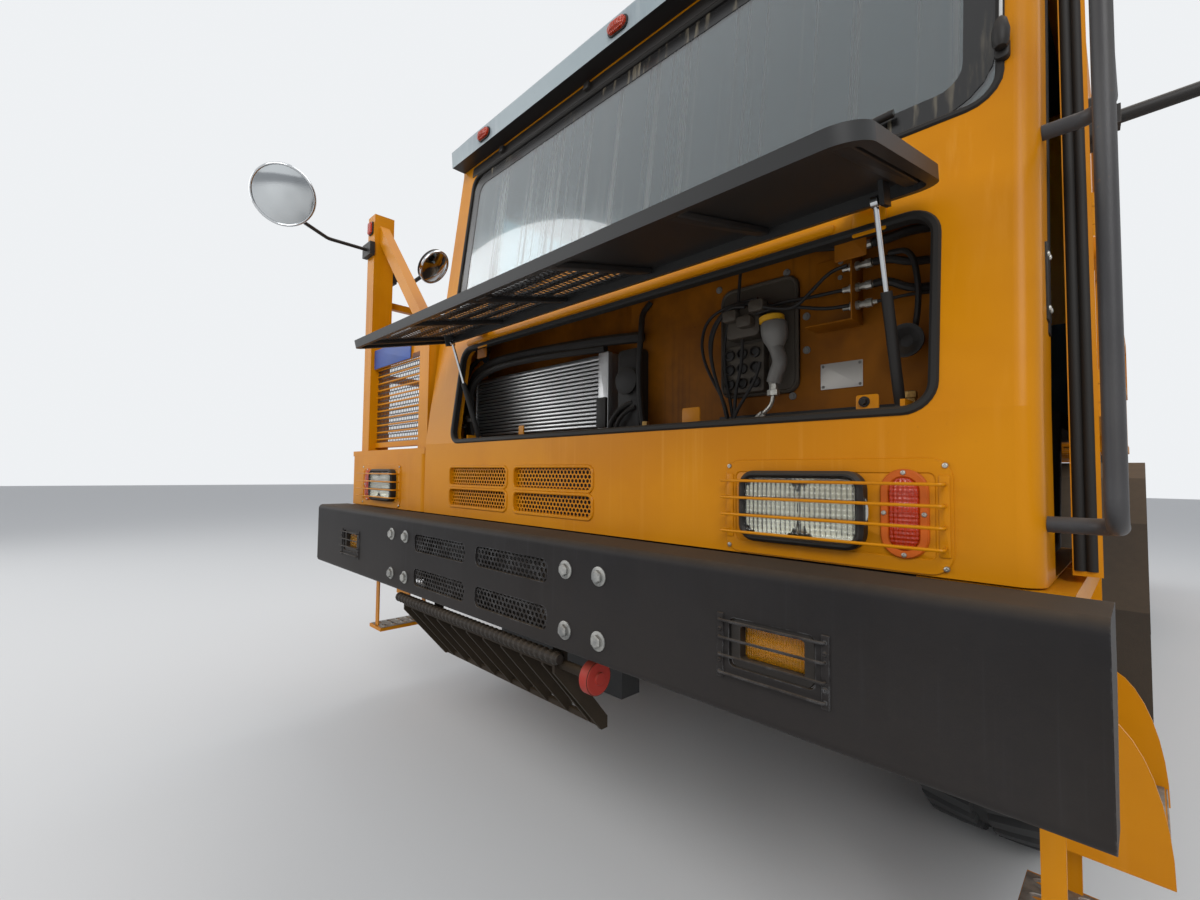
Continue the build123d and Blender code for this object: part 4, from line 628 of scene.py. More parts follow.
EFFECTS = {
    "drift": shared("tone_drift", {"Size": 1.5}, "Mask", drift_wire),
    "dust": shared("settled_dust", {"Amount": 0.3}, "Mask", dust_wire),
    "runs": shared("rain_marks", {"Amount": 0.3}, "Mask", runs_wire),
    "chips": shared("bare_spots", {"Amount": 0.3}, "Mask", chips_wire),
    "edges": shared("rubbed_edges", {"Reach": 0.004, "Amount": 0.3}, "Mask", edges_wire),
    "grain": shared("fine_grain", {"Size": 400.0}, "Height", grain_wire),
}
# roughness of dust, of dried rain and of clear coat, the second tone's share of the first, and how glass bends
DUSTY, DRIED, COATED, DARKER = 0.92, 0.55, 0.25, 0.72
GLASS_IOR, SHEEN_IOR = 1.45, 1.8
DUST = tone(128, 108, 84)
STEEL = tone(122, 116, 108)


@dataclass(frozen=True)
class Surface:
    """What every finish has: a name, a colour, the record's slot and a material that is made once."""

    label: str
    colour: Rgb
    slot: str = field(default="", kw_only=True)

    def material(self) -> bpy.types.Material:
        """The finish as a material, the same one at each call.

        Returns:
            The material.
        """
        made = bpy.data.materials.get(self.label)
        if made is None:
            made = bpy.data.materials.new(self.label)
            made.use_nodes = True
            made.diffuse_color = (*self.colour, 1)
            graph = Graph(made.node_tree)
            place = graph.add("TexCoord").outputs["Object"]
            graph.feed(made.node_tree.nodes["Principled BSDF"], self.look(graph, place))
        return made

    def look(self, graph: Graph, place: Socket) -> dict[str, Feed]:
        """What goes into the shader: here the plain colour.

        Args:
            graph: the material's nodes.
            place: the place on the object.

        Returns:
            Each input's value by its name.
        """
        return {"Base Color": (*self.colour, 1)}


@dataclass(frozen=True)
class Finish(Surface):
    """A painted, moulded or bare surface and how it has weathered."""

    second: Optional[Rgb] = None
    rough: float = 0.5
    metal: float = 0.0
    coat: float = 0.0
    gloss: float = 0.28
    grain: float = 0.1
    grain_size: float = 400.0
    dust: float = 0.3
    dust_colour: Rgb = DUST
    runs: float = 0.0
    run_colour: Rgb = tone(205, 190, 160)
    chips: float = 0.0
    edges: float = 0.0
    bare: Rgb = STEEL
    drift_size: float = 1.6

    def base(self, graph: Graph, place: Socket) -> Socket:
        """The clean surface's colour: its own, drifting to its second tone in patches.

        Args:
            graph: the material's nodes.
            place: the place on the object.

        Returns:
            The colour.
        """
        second = self.second or tuple(v * DARKER for v in self.colour)
        share = graph.effect("drift", {"Vector": place, "Size": self.drift_size})
        return graph.mix(share, (*self.colour, 1), (*second, 1))

    def height(self, graph: Graph, place: Socket) -> Socket:
        """The surface's fine relief."""
        return graph.effect("grain", {"Vector": place, "Size": self.grain_size})

    def look(self, graph: Graph, place: Socket) -> dict[str, Feed]:
        """Colour, roughness and relief: runs, chips, rubbed edges and dust are laid over the base in turn."""
        colour, rough = self.base(graph, place), self.rough
        for kind, amount, over in (
            ("runs", self.runs, self.run_colour), ("chips", self.chips, self.bare),
            ("edges", self.edges, self.bare), ("dust", self.dust, self.dust_colour),
        ):
            if amount:
                mask = graph.effect(kind, {"Vector": place, "Amount": amount})
                colour = graph.mix(mask, colour, (*over, 1))
                if kind == "dust":
                    rough = graph.ramp(mask, self.rough, DUSTY)
        return {
            "Base Color": colour, "Roughness": rough, "Metallic": self.metal, "Specular IOR Level": self.gloss,
            "Coat Weight": self.coat, "Coat Roughness": COATED,
            "Normal": graph.bump(self.height(graph, place), self.grain),
        }


@dataclass(frozen=True)
class StripedFinish(Finish):
    """Paint with slanting bands of three colours across a lip."""

    # the bands' pitch and colours, the shares of it where the second and third start, and the lip's limits
    pitch: float = 0.62
    bands: tuple[Rgb, Rgb, Rgb] = (tone(18, 17, 16), tone(150, 30, 22), tone(206, 134, 26))
    shares: Pair = (0.34, 0.5)
    above: float = 3.765
    front: float = 1.37

    def base(self, graph: Graph, place: Socket) -> Socket:
        """Bands by the remainder of X plus Z over the pitch, on the lip alone; below it, plain paint."""
        parts = graph.add("SeparateXYZ", {0: place}).outputs
        slant = graph.math("DIVIDE", graph.math("ADD", parts[0], parts[2]), self.pitch)
        share = graph.math("FRACT", slant)
        first, second = (graph.math("GREATER_THAN", share, start) for start in self.shares)
        dark, red, own = ((*colour, 1) for colour in self.bands)
        banded = graph.mix(second, graph.mix(first, dark, red), own)
        front = graph.math("LESS_THAN", parts[1], self.front)
        lip = graph.math("MULTIPLY", graph.math("GREATER_THAN", parts[2], self.above), front)
        return graph.mix(lip, Finish.base(self, graph, place), banded)


@dataclass(frozen=True)
class ShadedFinish(Finish):
    """Paint whose faces that look down are darkened as painted shade."""

    # the painted shade's colour, and how far down a face points where it starts
    under: Rgb = tone(30, 29, 31)
    turn: float = -0.35

    def base(self, graph: Graph, place: Socket) -> Socket:
        """The paint, and painted shade where the face's own direction points down by more than a third."""
        below = graph.math("LESS_THAN", graph.rise(), self.turn)
        return graph.mix(below, Finish.base(self, graph, place), (*self.under, 1))


@dataclass(frozen=True)
class ClothFinish(Finish):
    """Woven seat cover: two sets of fine waves that cross."""

    def height(self, graph: Graph, place: Socket) -> Socket:
        """The cloth's relief: the larger of two wave patterns square to each other."""
        wave = {"Vector": place, "Scale": 170.0, "Distortion": 0.6}
        return graph.math("MAXIMUM", *[graph.wave(wave, way) for way in ("X", "Z")])


class Pattern(Enum):
    """The relief pressed into a pane or lens."""

    PLAIN = "plain"
    RIBBED = "ribbed"
    PRISMS = "prisms"


@dataclass(frozen=True)
class GlassFinish(Surface):
    """Clear or tinted glass with dried rain marks and pressed relief."""

    rough: float = 0.03
    clear: float = 1.0
    marks: float = 0.0
    pattern: Pattern = Pattern.PLAIN
    pitch: float = 0.008
    run_width: float = 38.0
    run_depth: float = 1.0
    sheen: float = 0.0

    def dirt(self, graph: Graph, place: Socket) -> Socket:
        """The marks' mask: the largest of a cloudy film and three widths of noise drawn out along Z."""
        dirt = graph.math("MULTIPLY", graph.noise(place, 2.2, 4.0), self.marks * 0.34)
        for width, low, high, share in ((1.0, 0.56, 0.74, 0.9), (2.6, 0.6, 0.7, 0.6), (0.3, 0.5, 0.8, 0.35)):
            width *= self.run_width
            drawn = graph.stretched(place, (width, width * self.run_depth, 0.22))
            streak = graph.band(graph.noise(drawn, 1.0, 1.5, 0.4), low, high)
            dirt = graph.math("MAXIMUM", dirt, graph.math("MULTIPLY", streak, self.marks * share))
        return dirt

    def relief(self, graph: Graph, place: Socket) -> Socket:
        """The face's bent direction: a faint swell in plain glass, waves one or both ways in a lens."""
        if self.pattern is Pattern.PLAIN:
            return graph.bump(graph.noise(place, 3.0, 2.0), 0.03)
        wave = {"Vector": place, "Scale": 0.314 / self.pitch}
        height = graph.wave(wave, "X")
        if self.pattern is Pattern.PRISMS:
            height = graph.math("ADD", height, graph.math("MULTIPLY", graph.wave(wave, "Z"), 0.5))
        return graph.bump(height, 0.8)

    def look(self, graph: Graph, place: Socket) -> dict[str, Feed]:
        """Clear glass under its marks, which also make it rougher."""
        dirt = self.dirt(graph, place)
        return {
            "Base Color": graph.mix(dirt, (*self.colour, 1), (*tone(196, 200, 196), 1)),
            "Roughness": graph.ramp(dirt, self.rough, DRIED), "IOR": GLASS_IOR, "Coat Weight": self.sheen,
            "Coat IOR": SHEEN_IOR, "Transmission Weight": self.clear, "Normal": self.relief(graph, place),
        }


AMBER = tone(202, 130, 4)
PAINT = Finish(
    "amber_paint", AMBER, tone(190, 118, 2), rough=0.34, coat=0.05, gloss=0.14, grain=0.05, grain_size=260.0,
    dust=0.1, dust_colour=tone(150, 112, 62), runs=0.14, run_colour=tone(226, 166, 78), chips=0.35, edges=0.25,
    bare=tone(112, 76, 34), slot="body_yellow",
)
# the body's paint with its two tones darkened as painted shade of the recess under the hatch; its dark runs, dust
# and bare spots are grime and wear
SHADED_BAY_PAINT = Finish(
    "bay_paint", tone(142, 84, 6), tone(112, 64, 8), rough=0.5, gloss=0.14, dust=0.5, dust_colour=tone(60, 42, 26),
    runs=0.35, run_colour=tone(58, 34, 14), chips=0.6, bare=tone(50, 34, 24), drift_size=4.0, slot="body_yellow",
)
BODY_PAINT = Finish(
    "body_paint", AMBER, tone(188, 116, 6), rough=0.5, gloss=0.18, grain=0.12, dust=0.3, runs=0.35,
    run_colour=tone(150, 104, 46), chips=0.5, edges=0.4, bare=tone(92, 62, 40),
)
STRIPED = StripedFinish(
    "striped_lip", AMBER, tone(188, 116, 6), rough=0.5, gloss=0.18, grain=0.12, dust=0.3, runs=0.4,
    run_colour=tone(138, 98, 50), chips=0.6, bare=tone(92, 62, 40),
)
BUMPER = Finish(
    "bumper_paint", tone(33, 34, 37), tone(26, 27, 30), rough=0.42, gloss=0.08, grain=0.12, grain_size=220.0,
    dust=0.5, dust_colour=tone(98, 84, 68), runs=0.2, run_colour=tone(66, 68, 72), chips=0.3, edges=0.5,
    bare=tone(140, 142, 144), slot="bumper_grey",
)
CHASSIS = Finish(
    "chassis_paint", tone(20, 20, 20), rough=0.6, gloss=0.12, grain=0.2, dust=0.4, chips=0.5, bare=tone(66, 48, 36),
)
SPRINGS = Finish("spring_steel", tone(52, 48, 44), rough=0.62, metal=0.4, grain=0.25, dust=0.85)
ENGINE = Finish("engine_paint", tone(92, 94, 92), rough=0.55, grain=0.2, dust=0.7)
RADIATOR = Finish("radiator_black", tone(30, 30, 30), rough=0.6, dust=0.6)
TANKS = Finish("tank_paint", tone(62, 63, 64), rough=0.5, dust=0.7, chips=0.4, edges=0.4)
# the visor's faces that look down carry painted shade in place of its paint
VISOR = ShadedFinish(
    "visor_paint", tone(150, 162, 166), tone(130, 142, 148), rough=0.38, coat=0.1, dust=0.3, runs=0.5,
    run_colour=tone(182, 188, 190), chips=0.3, edges=0.4,
)
ALUMINIUM = Finish(
    "bare_aluminium", tone(112, 106, 100), tone(88, 82, 76), rough=0.55, metal=0.6, grain=0.15, dust=0.35,
    dust_colour=tone(104, 90, 74), drift_size=6.0, slot="bare_aluminium",
)
GALVANISED = Finish(
    "galvanised", tone(168, 168, 164), tone(120, 122, 122), rough=0.48, metal=0.75, grain=0.2, dust=0.35, chips=0.4,
    bare=tone(90, 84, 76), drift_size=22.0, slot="bare_aluminium",
)
BRIGHT = Finish(
    "zinc_bolts", tone(190, 188, 180), tone(150, 146, 136), rough=0.36, metal=0.8, dust=0.15, drift_size=40.0,
    slot="bare_aluminium",
)
CHROME = Finish(
    "polished_rod", tone(206, 208, 210), rough=0.12, metal=1.0, grain=0.02, dust=0.08, slot="bare_aluminium",
)
SILVER_PLATE = Finish(
    "silver_plate", tone(176, 172, 166), tone(150, 144, 136), rough=0.4, metal=0.6, dust=0.3, slot="bare_aluminium",
)
TRIM = Finish("cab_trim", tone(42, 42, 44), rough=0.6, grain=0.35, grain_size=900.0, dust=0.2, slot="cab_trim")
CLOTH = ClothFinish(
    "seat_cloth", tone(52, 52, 56), tone(38, 38, 42), rough=0.9, grain=0.5, dust=0.2, slot="seat_fabric",
)
DRUM = Finish("drum_black", tone(28, 28, 29), rough=0.45, coat=0.15, dust=0.5, edges=0.3)
RUBBER = Finish("black_rubber", tone(30, 29, 28), tone(40, 38, 35), rough=0.72, grain=0.3, dust=0.55)
SEAL = Finish("seal_rubber", tone(22, 22, 22), rough=0.6, grain=0.2, dust=0.22, slot="fender_rubber")
TYRE = Finish(
    "tyre_rubber", tone(44, 41, 38), tone(58, 52, 46), rough=0.85, grain=0.6, grain_size=120.0, dust=0.95,
    dust_colour=tone(112, 98, 80), drift_size=5.0, slot="tyre_rubber",
)
RAIL = Finish(
    "handrail_paint", tone(64, 64, 66), tone(50, 50, 52), rough=0.42, grain=0.2, dust=0.25, chips=1.0,
    bare=tone(150, 104, 48), runs=0.3, run_colour=tone(98, 96, 92),
)
BLACK = Finish("black_steel", tone(26, 26, 27), rough=0.5, grain=0.15, dust=0.3, edges=0.25, slot="frame_black")
HATCH = Finish(
    "hatch_black", tone(27, 25, 24), tone(42, 35, 29), rough=0.62, grain=0.3, dust=0.5,
    dust_colour=tone(84, 68, 52), runs=0.3, run_colour=tone(70, 56, 42), edges=0.35, bare=tone(96, 84, 72),
    drift_size=3.5, slot="hatch_black",
)
HOSE = Finish(
    "hose_black", tone(24, 24, 25), rough=0.55, grain=0.3, grain_size=700.0, dust=0.3, slot="fender_rubber",
)
PLATE = Finish(
    "plate_grey", tone(74, 68, 60), tone(58, 52, 46), rough=0.5, metal=0.2, grain=0.2, dust=0.4, slot="engine_grey",
)
FITTING = Finish(
    "fitting_grey", tone(120, 118, 114), tone(92, 90, 86), rough=0.5, metal=0.2, grain=0.2, dust=0.4,
    slot="bare_aluminium",
)
WHEEL = Finish(
    "wheel_paint", AMBER, tone(180, 110, 20), rough=0.5, grain=0.2, dust=0.85, chips=0.7, bare=tone(92, 64, 44),
)
BLUE_PLATE = Finish("plate_blue", tone(34, 74, 150), rough=0.4, dust=0.3, slot="visor_grey")
ORANGE = Finish("marker_flange", tone(206, 96, 14), rough=0.45, dust=0.2, slot="lamp_amber")
LINING = Finish(
    "cab_lining", tone(74, 84, 94), tone(58, 66, 76), rough=0.85, grain=0.3, grain_size=700.0, dust=0.15,
    slot="cab_trim",
)
BRASS = Finish(
    "brass_fitting", tone(176, 142, 84), tone(132, 100, 56), rough=0.38, metal=0.8, dust=0.3, drift_size=40.0,
    slot="bare_aluminium",
)
AERIAL = Finish("aerial_white", tone(214, 214, 210), rough=0.5, dust=0.2, slot="bare_aluminium")
TOW_RED = Finish("tow_red", tone(168, 34, 26), rough=0.45, dust=0.3, edges=0.4, slot="lamp_amber")
YELLOW_CAP = Finish("cap_yellow", tone(216, 160, 30), rough=0.5, dust=0.25, slot="body_yellow")
REFLECTOR = Finish(
    "reflector", tone(226, 226, 220), tone(196, 190, 176), rough=0.14, metal=1.0, grain=0.05, dust=0.0,
    slot="bare_aluminium",
)
MIRROR = Finish(
    "mirror_glass", tone(206, 210, 212), rough=0.06, metal=1.0, grain=0.02, dust=0.25, slot="mirror_black",
)
BORDER = Finish(
    "glass_border", tone(14, 15, 17), rough=0.2, coat=0.5, grain=0.02, dust=0.12, runs=0.3, slot="window_glass",
)
SCREEN = GlassFinish("screen_glass", tone(150, 182, 190), marks=0.8, run_width=30.0, run_depth=0.0, sheen=1.0)
WINDOW = GlassFinish("window_glass", tone(190, 206, 202), marks=0.4)
LENS = GlassFinish(
    "clear_lens", tone(244, 244, 236), rough=0.05, pattern=Pattern.PRISMS, pitch=0.012, slot="window_glass",
)
AMBER_LENS = GlassFinish(
    "amber_lens", tone(240, 176, 40), rough=0.12, clear=0.75, pattern=Pattern.RIBBED, pitch=0.006,
    slot="lamp_amber",
)
RED_LENS = GlassFinish(
    "orange_lens", tone(216, 62, 16), rough=0.15, clear=0.45, pattern=Pattern.PRISMS, pitch=0.009,
    slot="lamp_amber",
)


# Putting pieces on the truck


def make(
    name: str, finish: Surface, *forms: Form, body: str = "chassis", slot: str = "", crease: float = 35.0,
) -> bpy.types.Object:
    """Makes a piece of the truck from forms, welded and facing outwards.

    Args:
        name: of the piece.
        finish: its surface.
        forms: its shapes in their places.
        body: what it moves with.
        slot: the record's slot, where it isn't the finish's own; it is worked out but given to nothing.
        crease: sharpest angle in degrees that is still shaded smooth.

    Returns:
        The piece.
    """
    form, slot = Form.joined(forms), slot or finish.slot
    mesh = bpy.data.meshes.new(name)
    mesh.from_pydata(form.points.tolist(), [], [face for block in form.faces for face in block.tolist()])
    work = bmesh.new()
    work.from_mesh(mesh)
    bmesh.ops.remove_doubles(work, verts=work.verts, dist=WELD)
    bmesh.ops.recalc_face_normals(work, faces=work.faces)
    work.to_mesh(mesh)
    work.free()
    mesh.shade_smooth()
    mesh.set_sharp_from_angle(angle=float(np.radians(crease)))
    mesh.materials.append(finish.material())
    piece = bpy.data.objects.new(name, mesh)
    bpy.context.scene.collection.objects.link(piece)
    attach(piece, body)
    log.info("%s on %s: %d faces", name, body, len(mesh.polygons))
    return piece


def paint(finish: Surface, *nodes: str) -> None:
    """Gives solids of the frame a finish.

    Args:
        finish: the surface.
        nodes: their names.
    """
    for name in nodes:
        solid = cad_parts[name]
        if not solid.material_slots:
            solid.data.materials.append(finish.material())
        for place in solid.material_slots:
            place.material = finish.material()
        log.info("%s takes %s", name, finish.label)


@dataclass
class FrontBumper:
    """The steel bumper's bolts, pierced sheets and fog lamps."""

    # places across on the left, and heights, of the bolts, the slots and the fog lamp with its rods
    bolt_x: tuple[float, ...] = (0.549, 0.693)
    bolt_z: tuple[float, ...] = (1.1725, 0.991)
    slot_x: float = 0.249
    slot_z: tuple[float, ...] = (1.007, 1.155)
    slot_size: Pair = (0.424, 0.074)
    fog: Pair = (1.2165, 1.0877)
    fog_size: Pair = (0.199, 0.1095)
    rod_z: tuple[float, ...] = (1.018, 1.057, 1.096, 1.135)

    def dress(self) -> None:
        """Paints the bumper and builds what is fixed to it."""
        paint(BUMPER, "front_bumper")
        spots = [(side * x, 0, z) for side in (-1, 1) for x in self.bolt_x for z in self.bolt_z]
        make("bumper_bolts", GALVANISED, hex_bolt(0.033, 0.016).facing(0, 0, 0).repeated(spots))
        width, height = self.slot_size
        sheet = honeycomb(width, height, 0.0225, 0.0062, 0.002, 1.15).facing(0, 0.009, 0)
        spots = [(side * self.slot_x, 0, z) for side in (-1, 1) for z in self.slot_z]
        make("bumper_mesh", BUMPER, sheet.repeated(spots))
        shield = slab(width * 2 + 0.12, 0.262, 0.003, 0.03, 0.001)
        make("bumper_shield", BLACK, shield.facing(0, 0.060, sum(self.slot_z) / 2))
        for side, word in SIDES:
            self.fog_lamp(side * self.fog[0], word)

    def fog_lamp(self, x: float, word: str) -> None:
        """Builds one fog lamp: a recessed case, a ribbed lens and a guard of bent rods.

        Args:
            x: the lamp's middle.
            word: its side.
        """
        (width, height), z = self.fog_size, self.fog[1]
        case = frame_of(width - 0.05, height - 0.034, 0.023, 0.05, 0.008).facing(x, 0.056, z)
        back = slab(width - 0.03, height - 0.02, 0.004, 0.01).facing(x, 0.058, z)
        make(f"fog_case_{word}", BLACK, case, back)
        lens = slab(width - 0.052, height - 0.036, 0.016, 0.01, 0.004, 0.004).facing(x, 0.042, z)
        make(f"fog_lens_{word}", AMBER_LENS, lens)
        make(f"fog_bowl_{word}", REFLECTOR, slab(width - 0.06, height - 0.042, 0.003, 0.01).facing(x, 0.05, z))
        rods, ends = [], (x - 0.121, x + 0.121)
        for z in self.rod_z:
            line = [(ends[0], -0.001, z), (ends[0], -0.012, z), (ends[1], -0.012, z), (ends[1], -0.001, z)]
            rods.append(tube(bent(line, 0.009), 0.0032, 8))
        middle = (self.rod_z[0] + self.rod_z[-1]) / 2
        for end in ends:
            rods.append(slab(0.017, 0.145, 0.004, 0.002).facing(end, 0.0, middle))
            rods += [screw_head(0.0055).facing(end, -0.004, z) for z in (1.042, 1.112)]
        make(f"fog_guard_{word}", BUMPER, *rods)


@dataclass
class FrontVents:
    """The four raised vents of the cab's lower front, each with pierced sheet behind."""

    # middle and width of each column, middle and height of each row
    columns: tuple[Pair, ...] = ((-0.252, 0.450), (0.2525, 0.445))
    rows: tuple[Pair, ...] = ((1.3505, 0.071), (1.446, 0.076))

    def dress(self) -> None:
        """Builds the rims and the sheets."""
        rims, sheets = [], []
        for x, width in self.columns:
            for z, height in self.rows:
                rims.append(frame_of(width, height, 0.012, 0.005, 0.018, 0.003).on_front(x, z))
                sheets.append(honeycomb(width, height, 0.0195, 0.0052, 0.002, 1.12).on_front(x, z, -0.014))
        make("vent_rims", PAINT, *rims)
        make("vent_mesh", PAINT, *sheets)


@dataclass
class HeadLamps:
    """Head lamps with their bezel plates, marker lamps and guards, one on each side."""

    plate: Span = Span(0.9975, 1.525, 1.266, 1.505)
    lamp: Span = Span(1.055, 1.36, 1.302, 1.476)
    marker: Span = Span(1.387, 1.48, 1.294, 1.482)
    bar_z: tuple[float, ...] = (1.322, 1.365, 1.408, 1.451)

    def dress(self) -> None:
        """Builds both lamps and hides the plain solids."""
        stand_in = None
        for side, word in SIDES:
            for label, finish, forms in self.pieces():
                piece = make(f"{label}_{word}", finish, Form.joined(forms).sided(side))
                stand_in = stand_in or piece
        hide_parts("lamps")

    def pieces(self) -> list[tuple[str, Surface, list[Form]]]:
        """The left lamp's pieces.

        Returns:
            Name, finish and forms of each.
        """
        (x0, x1, z0, z1), (width, height) = self.plate, self.plate.size
        opening = frame_of(width - 0.07, height - 0.064, 0.032, 0.004, 0.012, 0.002).on_front(*self.plate.middle)
        back = slab(width - 0.06, height - 0.055, 0.0015, 0.006).on_front(*self.plate.middle)
        (x, z), (width, height) = self.lamp.middle, self.lamp.size
        case = frame_of(width - 0.036, height - 0.034, 0.018, 0.034, 0.022, 0.007).on_front(x, z, 0.001)
        lens = slab(width - 0.034, height - 0.032, 0.007, 0.022, 0.003, 0.007).on_front(x, z, 0.024)
        profile = [(0.078, 0.02), (0.066, 0.012), (0.045, 0.005), (0.016, 0.001), (0.014, 0.016), (0.0, 0.02)]
        bowls = [turned_form(profile, 32).on_front(x + share * width, z, 0.001) for share in (-0.22, 0.27)]
        tray = slab(width - 0.036, height - 0.034, 0.002, 0.02).on_front(x, z, 0.001)
        (x, z), (width, height) = self.marker.middle, self.marker.size
        flange = frame_of(width - 0.036, height - 0.036, 0.018, 0.009, 0.04, 0.003, 8).on_front(x, z, 0.001)
        marker = slab(width - 0.036, height - 0.036, 0.012, 0.03, 0.004, 0.005, 8).on_front(x, z, 0.001)
        corners = [(a, b) for b in (z0 + 0.016, z1 - 0.016) for a in (x0 + 0.016, x1 - 0.016)]
        heads = [screw_head(0.006).on_front(*corner, 0.004) for corner in corners]
        m0, m1, c0, c1 = self.marker
        ring = [(x, c0 + 0.008), (x, c1 - 0.008), (m0 + 0.008, z), (m1 - 0.008, z)]
        heads += [screw_head(0.0055).on_front(*spot, 0.009) for spot in ring]
        guard = []
        for z in self.bar_z:
            line = [(x0 + 0.018, FRONT - 0.003, z), (x0 + 0.01, FRONT - 0.044, z), (x1 - 0.01, FRONT - 0.044, z),
                    (x1 - 0.018, FRONT - 0.003, z)]
            guard.append(tube(bent(line, 0.012), 0.0036, 8))
        rise = (self.bar_z[0] + self.bar_z[-1]) / 2
        guard += [slab(0.020, 0.165, 0.004, 0.003).on_front(x, rise, 0.003) for x in (x0 + 0.018, x1 - 0.018)]
        return [
            ("lamp_plate", PAINT, [opening, back]), ("lamp_case", BLACK, [case]), ("lamp_lens", LENS, [lens]),
            ("lamp_bowls", REFLECTOR, [tray, *bowls]), ("marker_flange", ORANGE, [flange]),
            ("marker_lens", RED_LENS, [marker]), ("lamp_screws", BRIGHT, heads), ("lamp_guard", PAINT, guard),
        ]


